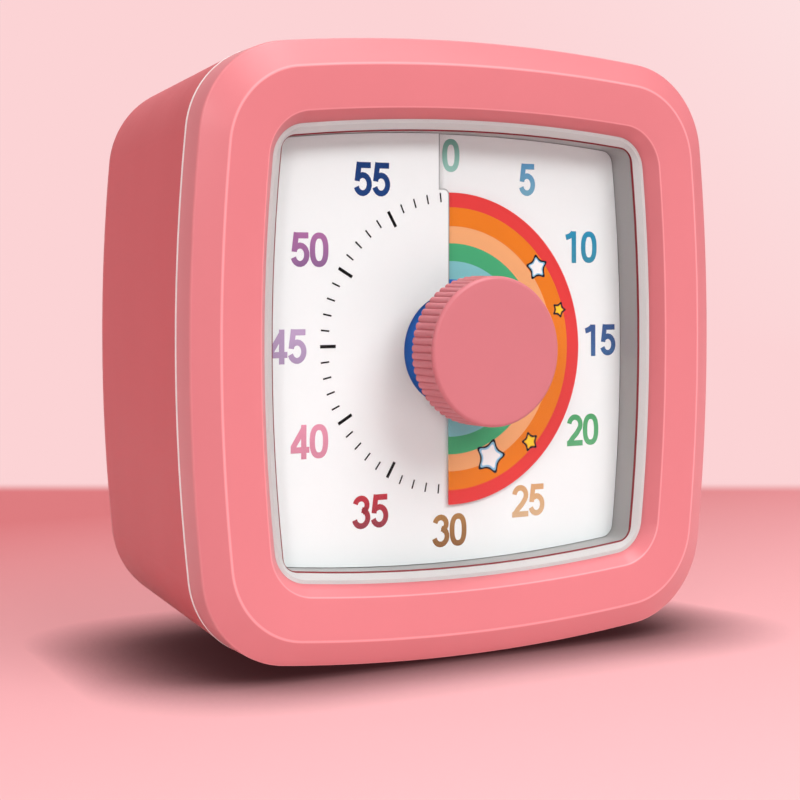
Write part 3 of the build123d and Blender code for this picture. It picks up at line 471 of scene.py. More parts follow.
@dataclass(frozen=True)
class ClearWindow:
    """Clear polished plastic that only its gloss shows."""

    name: str
    tint: Colour = (0.99, 0.992, 0.992)
    gloss: float = 0.4

    def material(self) -> bpy.types.Material:
        """Builds the material, whose cut side walls carry no gloss."""
        recipe = Recipe(self.name)
        haze = recipe.noise(12.0, 2.0)
        facing = recipe.node("ShaderNodeTexCoord").outputs["Normal"]
        split = recipe.node("ShaderNodeSeparateXYZ", inputs={0: facing})
        flat = abs(Signal(recipe, split.outputs[1])) > 0.9
        fresnel = recipe.node("ShaderNodeFresnel", inputs={"IOR": 1.3})
        clear = recipe.node("ShaderNodeBsdfTransparent", inputs={0: self.tint}).outputs[0]
        shine = recipe.node("ShaderNodeBsdfGlossy", inputs={"Roughness": 0.03 + 0.02 * haze}).outputs[0]
        share = Signal(recipe, fresnel.outputs[0]) * self.gloss * flat
        mixed = recipe.node("ShaderNodeMixShader", inputs={0: share, 1: clear, 2: shine})
        return recipe.finish(mixed.outputs[0])


@dataclass(frozen=True)
class WorkedMetal:
    """Metal with the fine drawn lines of its strip or wire."""

    name: str
    colour: Colour
    roughness: float = 0.28
    lines: tuple[float, float, float] = (1.0, 0.06, 1.0)

    def material(self) -> bpy.types.Material:
        """Builds the material."""
        recipe = Recipe(self.name)
        drawn = recipe.noise(0.08, 3.0, self.lines)
        tarnish = recipe.noise(1.5, 3.0)
        dull = tuple(0.7 * c for c in self.colour)
        surface = recipe.shader(
            Base_Color=recipe.mix(0.5 * tarnish, self.colour, dull),
            Metallic=1.0,
            Roughness=self.roughness + 0.15 * (drawn - 0.5) + 0.1 * (tarnish - 0.5),
            Normal=recipe.bump(drawn, 0.003),
        )
        return recipe.finish(surface)


@dataclass(frozen=True)
class CoilWinding:
    """Fine enamelled wire wound round a bobbin whose ends are plain."""

    name: str
    wire: Colour
    bobbin: Colour
    wound_x: tuple[float, float]
    wire_pitch: float = 0.25

    def material(self) -> bpy.types.Material:
        """Builds the material."""
        recipe = Recipe(self.name)
        x, _, _ = recipe.place()
        wound = x.between(*self.wound_x)
        turns = 0.5 + 0.5 * (x * (2 * pi / self.wire_pitch)).sine()
        stray = recipe.noise(0.6, 2.0, (0.2, 1.0, 1.0))
        glint = recipe.mix(0.6 * turns * stray, tuple(0.45 * c for c in self.wire), self.wire)
        surface = recipe.shader(
            Base_Color=recipe.mix(wound, self.bobbin, glint),
            Roughness=0.5 - 0.2 * wound + 0.1 * (stray - 0.5),
            Metallic=0.7 * wound,
            Normal=recipe.bump(turns * wound, 0.03),
        )
        return recipe.finish(surface)


@dataclass(frozen=True)
class SolderMask:
    """Board lacquer over copper tracks, with bare pads."""

    name: str
    mask: Colour
    copper: Colour
    track_pitch: float = 2.2

    def material(self) -> bpy.types.Material:
        """Builds the material."""
        recipe = Recipe(self.name)
        x, _, z = recipe.place()
        wander = recipe.noise(5.0, 1.0)
        lanes = abs((x * (pi / self.track_pitch) + 3 * wander).sine())
        rows = abs((z * (pi / (1.7 * self.track_pitch))).sine())
        track = (lanes > 0.86) * (rows > 0.25)
        pad = (lanes > 0.93) * (rows < 0.12)
        lacquer = recipe.mix(0.6 * track, self.mask, tuple(1.9 * c for c in self.mask))
        surface = recipe.shader(
            Base_Color=recipe.mix(pad, lacquer, self.copper),
            Metallic=0.9 * pad,
            Roughness=0.32 + 0.1 * (recipe.noise(0.5, 2.0) - 0.5),
            Normal=recipe.bump(track, 0.03),
        )
        return recipe.finish(surface)


@dataclass(frozen=True)
class CellWrap:
    """Plain two-tone plastic sleeve of a cell, with its bare metal ends."""

    name: str
    body: Colour
    band: Colour
    metal: Colour
    band_x: float
    ends_x: tuple[float, float]

    def material(self) -> bpy.types.Material:
        """Builds the material."""
        recipe = Recipe(self.name)
        x, _, _ = recipe.place()
        crinkle = recipe.noise(1.2, 2.0, (0.4, 1.0, 1.0))
        sleeve = recipe.mix(x > self.band_x, self.body, self.band)
        bare = 1 - x.between(*self.ends_x)
        surface = recipe.shader(
            Base_Color=recipe.mix(bare, sleeve, self.metal),
            Metallic=bare,
            Roughness=0.3 + 0.1 * (crinkle - 0.5),
            Normal=recipe.bump(crinkle, 0.02),
        )
        return recipe.finish(surface)


# ---- mesh work -------------------------------------------------------------------------------


def fine(place: Vector) -> tuple[float, ...]:
    """A place rounded to a tenth of a micrometre, to look it up by."""
    return tuple(round(c, 7) for c in place)


class Workbench:
    """Operations on new pieces, done as by hand in edit mode."""

    @staticmethod
    def clear() -> None:
        """Deselects everything."""
        if bpy.context.object and bpy.context.object.mode != "OBJECT":
            bpy.ops.object.mode_set(mode="OBJECT")
        bpy.ops.object.select_all(action="DESELECT")

    @classmethod
    def take(cls, piece: bpy.types.Object) -> None:
        """Selects one piece and makes it active."""
        cls.clear()
        piece.select_set(True)
        bpy.context.view_layer.objects.active = piece

    @classmethod
    def through_rings(
        cls, name: str, rings: Sequence[Sequence[Vector]], cap: Vector | None = None
    ) -> bpy.types.Object:
        """Skin through a row of rings with equal numbers of points.

        A circle is seated on the first ring. Its edge is then extruded once for each further ring, and each
        new edge is seated on its ring. Rings that end where they began are joined there.

        Args:
            name: The piece's name.
            rings: The rings, in order.
            cap: Point that closes the last ring, or None.

        Returns:
            The piece, with its faces pointing outwards.
        """
        cls.clear()
        bpy.ops.mesh.primitive_circle_add(vertices=len(rings[0]), radius=1.0, fill_type="NOTHING")
        piece = bpy.context.object
        piece.name = piece.data.name = name
        for vertex, place in zip(piece.data.vertices, rings[0]):
            vertex.co = piece.matrix_world.inverted() @ place
        bpy.ops.object.mode_set(mode="EDIT")
        bpy.ops.mesh.select_all(action="SELECT")
        for last, ring in zip(rings, rings[1:]):
            cls._grow(piece, last, ring)
        if cap is not None:
            bpy.ops.mesh.extrude_region_move()
            bpy.ops.mesh.merge(type="CENTER")
            edit = bmesh.from_edit_mesh(piece.data)
            for vertex in (v for v in edit.verts if v.select):
                vertex.co = cap
            bmesh.update_edit_mesh(piece.data)
        bpy.ops.mesh.select_all(action="SELECT")
        bpy.ops.mesh.remove_doubles(threshold=1e-7)
        bpy.ops.mesh.normals_make_consistent(inside=False)
        bpy.ops.object.mode_set(mode="OBJECT")
        return piece

    @staticmethod
    def _grow(piece: bpy.types.Object, last: Sequence[Vector], ring: Sequence[Vector]) -> None:
        """Extrudes the selected edge from its last ring and seats it on the next one."""
        bpy.ops.mesh.extrude_region_move()
        edit = bmesh.from_edit_mesh(piece.data)
        for vertex in (v for v in edit.verts if v.select):
            near = min(range(len(last)), key=lambda index: (last[index] - vertex.co).length_squared)
            vertex.co = ring[near]
        bmesh.update_edit_mesh(piece.data)

    @classmethod
    def bevel(cls, piece: bpy.types.Object, width: float, segments: int, angle: float) -> None:
        """Rounds the edges that are sharper than an angle.

        Args:
            piece: The piece.
            width: Width of the bevel, in millimetres.
            segments: Number of faces across it.
            angle: Least angle, in degrees.
        """
        cls.take(piece)
        bevel = piece.modifiers.new("edges", "BEVEL")
        bevel.width = width * MM
        bevel.segments = segments
        bevel.limit_method = "ANGLE"
        bevel.angle_limit = radians(angle)
        bevel.harden_normals = False
        bpy.ops.object.modifier_apply(modifier=bevel.name)

    @classmethod
    def smooth(cls, piece: bpy.types.Object, angle: float = 30.0) -> None:
        """Shades the piece smooth except across edges sharper than an angle."""
        cls.take(piece)
        bpy.ops.object.shade_smooth_by_angle(angle=radians(angle))

    @classmethod
    def join(cls, name: str, pieces: Sequence[bpy.types.Object]) -> bpy.types.Object:
        """Joins pieces into one with its object at the origin."""
        cls.take(pieces[0])
        for piece in pieces:
            piece.select_set(True)
        if len(pieces) > 1:
            bpy.ops.object.join()
        whole = bpy.context.object
        whole.name = whole.data.name = name
        bpy.ops.object.transform_apply(location=True, rotation=True, scale=True)
        return whole


def dress(piece: bpy.types.Object, material: bpy.types.Material) -> None:
    """Gives a piece one material."""
    piece.data.materials.clear()
    piece.data.materials.append(material)


def add_piece(piece: bpy.types.Object, body: str, replaces: Iterable[str] = ()) -> None:
    """Fixes a new piece to its body and reports it.

    Args:
        piece: The finished piece.
        body: Body that it rides on.
        replaces: Nodes that it stands for.
    """
    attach(piece, body)
    if replaces:
        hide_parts(*replaces)
    log.info("%s: %d faces, rides %s", piece.name, len(piece.data.polygons), body)


# ---- front bezel -----------------------------------------------------------------------------


Ring = list[Vector]


@dataclass(frozen=True)
class BezelSection:
    """One outline of the bezel at a depth, with the width of its rounding and the strength of the highlight
    painted along it.
    """

    outline: Outline
    depth: float
    rounding: float = 0.0
    # light: strength of the highlight painted along the rounding.
    light: float = 0.0


@dataclass
class FrontBezel:
    """Front of the housing: two bands that meet in a crease, round the window."""

    datum: Datum
    finish: MouldedPlastic
    crease_inset: float = 3.65
    lip_inset: float = 9.7
    window_inset: float = 11.2
    seam_inset: float = 0.5
    seam_depth: float = 5.2
    window_depth: float = 0.35
    wall: float = 1.5
    per_side: int = 40
    per_corner: int = 24
    steps: int = 5

    def sections(self) -> list[BezelSection]:
        """Sections from the rear of the inside, over the seam's edge and the front, and back."""
        half = self.datum.edge_half
        hollow = Outline(half - self.seam_inset - self.wall, 11.1)
        rear = BezelSection(hollow, self.seam_depth)
        return [
            rear,
            BezelSection(Outline(half - self.seam_inset, 12.6), self.seam_depth, 0.14, 1.0),
            BezelSection(Outline(half, 13.8), 0.0, 0.35, 0.25),
            BezelSection(Outline(half - self.crease_inset, 11.7), -CREASE_RISE, 0.26, 0.6),
            BezelSection(Outline(half - self.lip_inset, 6.9), -1.8, 0.18, 0.5),
            BezelSection(Outline(half - self.window_inset, 5.1, 255.0), self.window_depth, 0.06, 0.3),
            BezelSection(hollow, self.window_depth),
            rear,
        ]

    def ring(self, section: BezelSection) -> Ring:
        """Points of a section in the row frame."""
        places = section.outline.points(self.per_side, self.per_corner)
        return [self.datum.point(x, section.depth, z) for x, z in places]

    def rounded(self, sections: Sequence[BezelSection]) -> list[tuple[Ring, float]]:
        """Rings through the sections, with a curve in place of each crease, and the painted highlight on
        each.
        """
        flat = [self.ring(section) for section in sections]
        rings = []
        for index, (section, corner) in enumerate(zip(sections, flat)):
            if not section.rounding:
                rings.append((corner, 0.0))
                continue
            before, after = flat[index - 1], flat[index + 1]
            starts, ends = (
                [c + (o - c).normalized() * section.rounding * MM for c, o in zip(corner, other)]
                for other in (before, after)
            )
            for step in range(self.steps + 1):
                t = step / self.steps
                curve = [
                    a * (1 - t) ** 2 + c * 2 * t * (1 - t) + b * t**2 for a, c, b in zip(starts, corner, ends)
                ]
                rings.append((curve, section.light * sin(pi * t)))
        return rings

    def build(self) -> None:
        """Models and dresses the bezel."""
        rings = self.rounded(self.sections())
        piece = Workbench.through_rings("bezel_front", [ring for ring, _ in rings])
        # Painted highlight: each point stores the strength of the highlight painted on it.
        lights = {fine(place): light for ring, light in rings for place in ring}
        layer = piece.data.attributes.new(self.finish.edge_layer, "FLOAT", "POINT")
        for vertex, value in zip(piece.data.vertices, layer.data):
            value.value = lights[fine(vertex.co)]
        Workbench.smooth(piece, 25)
        dress(piece, self.finish.material())
        add_piece(piece, "housing", ["front_bezel"])


# ---- lens ------------------------------------------------------------------------------------


@dataclass
class WindowLens:
    """Clear plate in the window, with a hole for the knob's stem."""

    datum: Datum
    finish: ClearWindow
    half: float = 32.65
    corner: float = 4.95
    bow: float = 255.0
    hole_radius: float = 4.4
    front_depth: float = -0.5
    rear_depth: float = 0.3
    chamfer: float = 0.12
    per_side: int = 40
    per_corner: int = 24

    def ring(self, inset: float, depth: float) -> Ring:
        """Outline of the plate at an inset."""
        outline = Outline(self.half - inset, self.corner - inset, self.bow)
        return [self.datum.point(x, depth, z) for x, z in outline.points(self.per_side, self.per_corner)]

    def hole(self, depth: float) -> Ring:
        """Circle of the hole, with as many points as the outline has."""
        outline = Outline(self.half, self.corner, self.bow)
        turns = [atan2(z, x) for x, z in outline.points(self.per_side, self.per_corner)]
        r = self.hole_radius
        return [self.datum.point(r * cos(turn), depth, r * sin(turn)) for turn in turns]

    def build(self) -> None:
        """Models and dresses the lens."""
        rings = [
            self.ring(self.chamfer, self.front_depth),
            self.ring(0.0, self.front_depth + self.chamfer),
            self.ring(0.0, self.rear_depth),
            self.hole(self.rear_depth),
            self.hole(self.front_depth),
            self.ring(self.chamfer, self.front_depth),
        ]
        piece = Workbench.through_rings("window_lens", rings)
        Workbench.smooth(piece, 20)
        dress(piece, self.finish.material())
        add_piece(piece, "housing", ["lens"])


# ---- knob ------------------------------------------------------------------------------------


@dataclass
class RibbedKnob:
    """Knob with fine round ribs that run out just behind its smooth, rounded front edge."""

    datum: Datum
    finish: MouldedPlastic
    radius: float = 10.65
    front_depth: float = -7.0
    rear_depth: float = -1.5
    edge_round: float = 0.55
    run_out: float = 0.5
    rib_count: int = 60
    rib_depth: float = 0.32
    points_per_rib: int = 8
    wall: float = 1.6
    stem_radius: float = 3.9
    stem_depth: float = 2.6
    bore_radius: float = 2.02
    bore_depth: float = -5.2
    dish: float = 0.12
    round_steps: int = 8

    def ring(self, radius: float, depth: float, rib: float = 0.0) -> list[Vector]:
        """Ring about the axis, with its ribs cut to a depth."""
        count = self.rib_count * self.points_per_rib
        ring = []
        for index in range(count):
            share = index / self.points_per_rib
            groove = 1 - abs(sin(pi * share)) ** 0.6
            reach = radius - rib * groove
            angle = 2 * pi * index / count
            ring.append(self.datum.point(reach * sin(angle), depth, reach * cos(angle)))
        return ring

    def build(self) -> None:
        """Models and dresses the knob."""
        r, e = self.radius, self.edge_round
        rings = [
            self.ring(self.bore_radius, self.bore_depth),
            self.ring(self.bore_radius, self.stem_depth),
            self.ring(self.stem_radius - 0.2, self.stem_depth),
            self.ring(self.stem_radius, self.stem_depth - 0.2),
            self.ring(self.stem_radius, self.front_depth + self.wall),
            self.ring(r - self.wall, self.front_depth + self.wall),
            self.ring(r - self.wall, self.rear_depth),
            self.ring(r - self.rib_depth - 0.05, self.rear_depth),
            self.ring(r, self.rear_depth + 0.15, self.rib_depth),
        ]
        for share in (0.0, 0.4, 0.7, 0.9):
            depth = self.front_depth + e + self.run_out * (1 - share)
            rings.append(self.ring(r, depth, self.rib_depth * (1 - share**2)))
        for step in range(self.round_steps + 1):
            turn = pi / 2 * step / self.round_steps
            rings.append(self.ring(r - e * (1 - cos(turn)), self.front_depth + e * (1 - sin(turn))))
        for share in (0.85, 0.6, 0.3, 0.1):
            sag = self.dish * (1 - share**2)
            rings.append(self.ring((r - e) * share, self.front_depth + sag))
        cap = self.datum.point(0, self.front_depth + self.dish, 0)
        piece = Workbench.through_rings("knob_grip", rings, cap)
        self.close_bore(piece)
        Workbench.smooth(piece, 40)
        dress(piece, self.finish.material())
        add_piece(piece, "spindle", ["knob"])

    @staticmethod
    def close_bore(piece: bpy.types.Object) -> None:
        """Fills the open end of the bore."""
        Workbench.take(piece)
        bpy.ops.object.mode_set(mode="EDIT")
        bpy.ops.mesh.select_mode(type="EDGE")
        bpy.ops.mesh.select_all(action="DESELECT")
        bpy.ops.mesh.select_non_manifold()
        bpy.ops.mesh.edge_face_add()
        bpy.ops.mesh.select_mode(type="VERT")
        bpy.ops.mesh.select_all(action="SELECT")
        bpy.ops.mesh.normals_make_consistent(inside=False)
        bpy.ops.object.mode_set(mode="OBJECT")


# ---- print -----------------------------------------------------------------------------------


class Digit(Enum):
    """The digits on the dial."""

    ZERO = 0
    ONE = 1
    TWO = 2
    THREE = 3
    FOUR = 4
    FIVE = 5


@dataclass(frozen=True)
class Numeral:
    """One number on the dial, in an ink whose colour runs from its top to its foot."""

    minutes: int
    top: Colour
    foot: Colour
    shift: Place = (0.0, 0.0)


Stroke = list[Place]


def arc(cx: float, cz: float, rx: float, rz: float, start: float, end: float, steps: int) -> Stroke:
    """Points along an arc of an ellipse, in degrees anticlockwise from its right."""
    angles = [radians(start + (end - start) * step / steps) for step in range(steps + 1)]
    return [(cx + rx * cos(angle), cz + rz * sin(angle)) for angle in angles]


@dataclass(frozen=True)
class DigitShapes:
    """Strokes of upright, narrow digits, drawn about their centre lines."""

    width: float = 2.95
    height: float = 4.8
    pen: float = 0.84

    def strokes(self, digit: Digit) -> list[Stroke]:
        """Centre lines of a digit's strokes, from its lower left corner."""
        w, h, p = self.width, self.height, self.pen / 2
        right, top, middle = w - p, h - p, w / 2
        if digit is Digit.ZERO:
            return [self.loop(middle, h / 2, middle - p, h / 2 - p)]
        if digit is Digit.ONE:
            bar = 0.62 * w
            return [[(bar, 0.0), (bar, h)], arc(bar - 1.85, h + 0.1, 1.75, 1.05, -12, -78, 5)]
        if digit is Digit.TWO:
            bowl = arc(middle, top - 1.12, middle - p, 1.12, 172, -28, 14)
            return [bowl + [(0.62 * w, 0.40 * h), (0.34 * w, 0.24 * h), (p + 0.02, p)], [(0.0, p), (w, p)]]
        if digit is Digit.THREE:
            upper = arc(middle - 0.04, top - 0.98, middle - p - 0.08, 0.98, 168, -78, 12)
            lower = arc(middle - 0.04, p + 1.16, middle - p + 0.04, 1.16, 84, -168, 14)
            return [upper, lower]
        if digit is Digit.FOUR:
            stem = 0.70 * w
            slope = [(stem + 0.1, h - 0.35), (p - 0.12, 0.33 * h)]
            return [[(stem, 0.0), (stem, h)], slope, [(0.0, 0.27 * h), (w, 0.27 * h)]]
        bowl = arc(middle - 0.02, p + 1.28, middle - p + 0.02, 1.28, 148, -162, 16)
        return [[(0.24 * w, top), (w - 0.18, top)], [(0.31 * w, h), (0.19 * w, 0.44 * h)], bowl]

    @staticmethod
    def loop(cx: float, cz: float, rx: float, rz: float, steps: int = 32) -> Stroke:
        """Closed oval whose sides are a little fuller than an ellipse's."""
        points = []
        for step in range(steps + 1):
            angle = 2 * pi * step / steps
            fullness = 1 / (abs(cos(angle)) ** 2.5 + abs(sin(angle)) ** 2.5) ** 0.4
            points.append((cx + rx * cos(angle) * fullness, cz + rz * sin(angle) * fullness))
        return points


@dataclass
class SheetPrint:
    """Thin ink on one of the dial's sheets."""

    datum: Datum
    sheet: Helicoid
    layer: str = "ink"
    film: float = 0.02

    def seat(self, piece: bpy.types.Object, lift: float = 0.0) -> None:
        """Drops a flat piece, modelled with its x and z about the axis, onto the sheet."""
        for vertex in piece.data.vertices:
            x, z = vertex.co.x / MM, vertex.co.z / MM
            vertex.co = self.datum.point(x, self.sheet.depth(x, z) - self.film - lift, z)

    def ink(self, piece: bpy.types.Object, colour: Callable[[Vector], Colour]) -> None:
        """Stores each corner's colour, given by its place."""
        layer = piece.data.color_attributes.new(self.layer, "FLOAT_COLOR", "CORNER")
        for loop, value in zip(piece.data.loops, layer.data):
            value.color = (*colour(piece.data.vertices[loop.vertex_index].co), 1.0)

    def ribbon(self, stroke: Stroke, pen: float, closed: bool = False) -> bpy.types.Object:
        """Flat band along a stroke: a plane whose end is extruded from point to point.

        Args:
            stroke: Centre line of the band.
            pen: Width of the band.
            closed: True where the stroke ends where it began.

        Returns:
            The band, facing front or back.
        """
        sides = self.offsets(stroke, pen, closed)
        Workbench.clear()
        bpy.ops.mesh.primitive_plane_add(size=1.0)
        piece = bpy.context.object
        bpy.ops.object.mode_set(mode="EDIT")
        edit = bmesh.from_edit_mesh(piece.data)
        corners = sorted(edit.verts, key=lambda v: (v.co.x, v.co.y))
        for vertex, (x, z) in zip(corners, (*sides[0], *sides[1])):
            vertex.co = Vector((x, 0.0, z)) * MM
        for part in (*edit.faces, *edit.edges, *edit.verts):
            part.select = False
        for vertex in corners[2:]:
            vertex.select = True
        edit.select_flush(True)
        bmesh.update_edit_mesh(piece.data)
        for last, place in zip(sides[1:], sides[2:]):
            bpy.ops.mesh.extrude_region_move()
            edit = bmesh.from_edit_mesh(piece.data)
            for vertex in (v for v in edit.verts if v.select):
                left = (vertex.co - Vector((last[0][0], 0.0, last[0][1])) * MM).length < 1e-8
                x, z = place[0] if left else place[1]
                vertex.co = Vector((x, 0.0, z)) * MM
            bmesh.update_edit_mesh(piece.data)
        bpy.ops.mesh.select_all(action="SELECT")
        bpy.ops.mesh.remove_doubles(threshold=1e-8)
        bpy.ops.object.mode_set(mode="OBJECT")
        return piece

    @staticmethod
    def offsets(stroke: Stroke, pen: float, closed: bool) -> list[tuple[Place, Place]]:
        """Left and right side of the pen at each point of a stroke."""
        sides = []
        last = len(stroke) - 1
        for index, (x, z) in enumerate(stroke):
            before = stroke[index - 1] if index else (stroke[last - 1] if closed else stroke[0])
            after = stroke[index + 1] if index < last else (stroke[1] if closed else stroke[last])
            dx, dz = after[0] - before[0], after[1] - before[1]
            span = hypot(dx, dz)
            nx, nz = -dz / span * pen / 2, dx / span * pen / 2
            sides.append(((x + nx, z + nz), (x - nx, z - nz)))
        return sides


@dataclass
class DialPrint(SheetPrint):
    """Minute marks and numbers on the dial plate."""

    black: Colour = srgb(12, 12, 14)
    mark_radius: float = 21.9
    mark_rise: float = 0.8
    minor_mark: tuple[float, float] = (1.35, 0.24)
    major_mark: tuple[float, float] = (2.5, 0.47)
    marks: int = 60
    marks_per_number: int = 5
    number_radius: float = 27.2
    number_rise: float = 0.7
    digit_gap: float = 0.04
    one_gap: float = 1.0
    shapes: DigitShapes = field(default_factory=DigitShapes)
    numerals: tuple[Numeral, ...] = (
        # The 0 is darker at its top: painted shade of the frame's shadow.
        Numeral(0, srgb(125, 185, 170), srgb(158, 208, 196), (0.4, 0.2)),
        Numeral(5, srgb(95, 160, 205), srgb(120, 175, 200), (0.2, 0.6)),
        Numeral(10, srgb(45, 150, 190), srgb(62, 148, 176), (0.05, 0.6)),
        Numeral(15, srgb(58, 92, 150), srgb(66, 108, 160)),
        Numeral(20, srgb(84, 172, 112), srgb(100, 180, 126), (0.4, 0.0)),
        Numeral(25, srgb(220, 172, 122), srgb(220, 186, 146), (0.2, -0.2)),
        Numeral(30, srgb(178, 134, 82), srgb(150, 106, 68), (-0.3, 0.0)),
        Numeral(35, srgb(196, 58, 70), srgb(148, 66, 78), (-0.1, 0.0)),
        Numeral(40, srgb(232, 154, 178), srgb(216, 142, 164), (0.0, 0.5)),
        Numeral(45, srgb(192, 166, 204), srgb(176, 154, 190), (0.2, 0.2)),
        Numeral(50, srgb(176, 114, 168), srgb(146, 106, 154)),
        Numeral(55, srgb(26, 62, 122), srgb(28, 66, 128)),
    )

    def mark(self, minute: int) -> bpy.types.Object:
        """Radial mark of one minute."""
        length, width = self.minor_mark if minute % self.marks_per_number else self.major_mark
        angle = 2 * pi * minute / self.marks
        middle = self.mark_radius - length / 2
        Workbench.clear()
        bpy.ops.mesh.primitive_plane_add(size=1.0)
        piece = bpy.context.object
        for vertex in piece.data.vertices:
            across, along = vertex.co.x * width, middle + vertex.co.y * length
            x, z = across * cos(angle) + along * sin(angle), along * cos(angle) - across * sin(angle)
            vertex.co = Vector((x, 0.0, z + self.mark_rise)) * MM
        return piece

    def digit(self, digit: Digit) -> bpy.types.Object:
        """One digit with its lower left corner at the origin."""
        strokes = self.shapes.strokes(digit)
        ribbons = [self.ribbon(stroke, self.shapes.pen, digit is Digit.ZERO) for stroke in strokes]
        return Workbench.join(f"digit_{digit.value}", ribbons)

    def spacing(self, digits: Sequence[Digit]) -> list[float]:
        """Left side of each digit of a number that is centred on 0."""
        places, reach = [], 0.0
        for digit in digits:
            places.append(reach)
            reach += self.shapes.width + self.digit_gap
            if digit is Digit.ONE:
                reach += self.one_gap - 0.28 * self.shapes.width
        return [place - (reach - self.digit_gap) / 2 for place in places]

    def number(self, numeral: Numeral, models: dict[Digit, bpy.types.Object]) -> bpy.types.Object:
        """A number, copied from its digits and seated at its minutes."""
        angle = 2 * pi * numeral.minutes / self.marks
        cx = self.number_radius * sin(angle) + numeral.shift[0]
        cz = self.number_radius * cos(angle) + self.number_rise + numeral.shift[1]
        digits = [Digit(int(text)) for text in str(numeral.minutes)]
        copies = []
        foot, height = cz - self.shapes.height / 2, self.shapes.height
        for layer, (digit, left) in enumerate(zip(digits, self.spacing(digits))):
            copy = models[digit].copy()
            copy.data = models[digit].data.copy()
            bpy.context.scene.collection.objects.link(copy)
            for vertex in copy.data.vertices:
                vertex.co += Vector((cx + left, 0.0, foot)) * MM
            copies.append(copy)
        piece = Workbench.join(f"number_{numeral.minutes}", copies)

        def shade(place: Vector) -> Colour:
            """Colour between the foot's and the top's."""
            share = min(1.0, max(0.0, (place.z / MM - foot) / height))
            return tuple(a + (b - a) * share for a, b in zip(numeral.foot, numeral.top))

        self.ink(piece, shade)
        return piece

    def build(self) -> None:
        """Prints the marks and the numbers."""
        material = PrintedInk("dial_ink", self.layer).material()
        marks = Workbench.join("dial_marks", [self.mark(minute) for minute in range(self.marks)])
        self.ink(marks, lambda place: self.black)
        models = {digit: self.digit(digit) for digit in Digit}
        numbers = Workbench.join("dial_numbers", [self.number(numeral, models) for numeral in self.numerals])
        for model in models.values():
            bpy.data.objects.remove(model)
        for piece in (marks, numbers):
            self.seat(piece)
            self.face_front(piece)
            dress(piece, material)
            add_piece(piece, "housing")

    @staticmethod
    def face_front(piece: bpy.types.Object) -> None:
        """Turns every face towards the viewer."""
        edit = bmesh.new()
        edit.from_mesh(piece.data)
        edit.normal_update()
        bmesh.ops.reverse_faces(edit, faces=[f for f in edit.faces if f.normal.y > 0])
        edit.to_mesh(piece.data)
        edit.free()


@dataclass(frozen=True)
class Star:
    """A five-pointed star on the disc."""

    radius: float
    angle: float
    size: float
    turn: float
    fill: Colour
    edge: Colour


@dataclass
class DiscPrint(SheetPrint):
    """Outlined stars on the coloured disc."""

    outline: Colour = srgb(24, 30, 46)
    line: float = 0.26
    edge: float = 0.3
    step: float = 0.001
    waist: float = 0.55
    stars: tuple[Star, ...] = (
        Star(17.3, 158.0, 3.0, 14.0, srgb(255, 255, 255), srgb(150, 205, 235)),
        Star(19.7, 136.0, 1.7, -16.0, srgb(255, 216, 60), srgb(240, 170, 40)),
        Star(19.2, 52.0, 2.2, -8.0, srgb(255, 255, 255), srgb(150, 205, 235)),
        Star(19.9, 74.0, 1.4, 20.0, srgb(255, 216, 60), srgb(240, 170, 40)),
    )

    def star(self, star: Star) -> bpy.types.Object:
        """A star whose points are rounded, stepped in for its outline and for its shaded edge."""
        Workbench.clear()
        bpy.ops.mesh.primitive_circle_add(vertices=10, radius=1.0, fill_type="NGON")
        piece = bpy.context.object
        cx, cz = star.radius * sin(radians(star.angle)), star.radius * cos(radians(star.angle))
        for index, vertex in enumerate(piece.data.vertices):
            reach = star.size * (self.waist if index % 2 else 1.0)
            angle = radians(36 * index + star.turn)
            vertex.co = Vector((cx + reach * sin(angle), 0.0, cz + reach * cos(angle))) * MM
        bpy.ops.object.mode_set(mode="EDIT")
        bpy.ops.mesh.select_all(action="SELECT")
        bpy.ops.mesh.bevel(offset=0.22 * star.size * MM, segments=4, affect="VERTICES")
        bpy.ops.mesh.select_all(action="SELECT")
        for width in (self.line, self.edge * star.size / 3):
            share = 1 - width / star.size / self.waist
            bpy.ops.mesh.inset(thickness=self.step * MM, depth=0.0)
            bpy.ops.transform.resize(value=(share,) * 3, center_override=Vector((cx, 0.0, cz)) * MM)
        bpy.ops.object.mode_set(mode="OBJECT")
        self.paint(piece, star)
        return piece

    def paint(self, piece: bpy.types.Object, star: Star) -> None:
        """Colours a star's middle, and its two rings by their distance from it."""
        faces = sorted(piece.data.polygons, key=lambda face: -len(face.vertices))
        middle = set(faces[0].vertices)
        layer = piece.data.color_attributes.new(self.layer, "FLOAT_COLOR", "CORNER")
        for face in faces:
            if face is faces[0]:
                colour = star.fill
            else:
                colour = star.edge if middle & set(face.vertices) else self.outline
            for index in face.loop_indices:
                layer.data[index].color = (*colour, 1.0)

    def build(self) -> None:
        """Prints the stars."""
        piece = Workbench.join("disc_stars", [self.star(star) for star in self.stars])
        self.seat(piece)
        DialPrint.face_front(piece)
        dress(piece, PrintedInk("disc_ink", self.layer).material())
        add_piece(piece, "disc")


# ---- pieces carried over from the frame ------------------------------------------------------


@dataclass
class CarriedPieces:
    """Nodes of the frame that keep their shape and get a finish."""

    finishes: dict[object, tuple[str, ...]]

    def build(self) -> None:
        """Dresses each node."""
        for finish, names in self.finishes.items():
            material = finish.material()
            for name in names:
                dress(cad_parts[name], material)
                log.info("%s: dressed in %s", name, material.name)


# ---- room, lights and camera -----------------------------------------------------------------


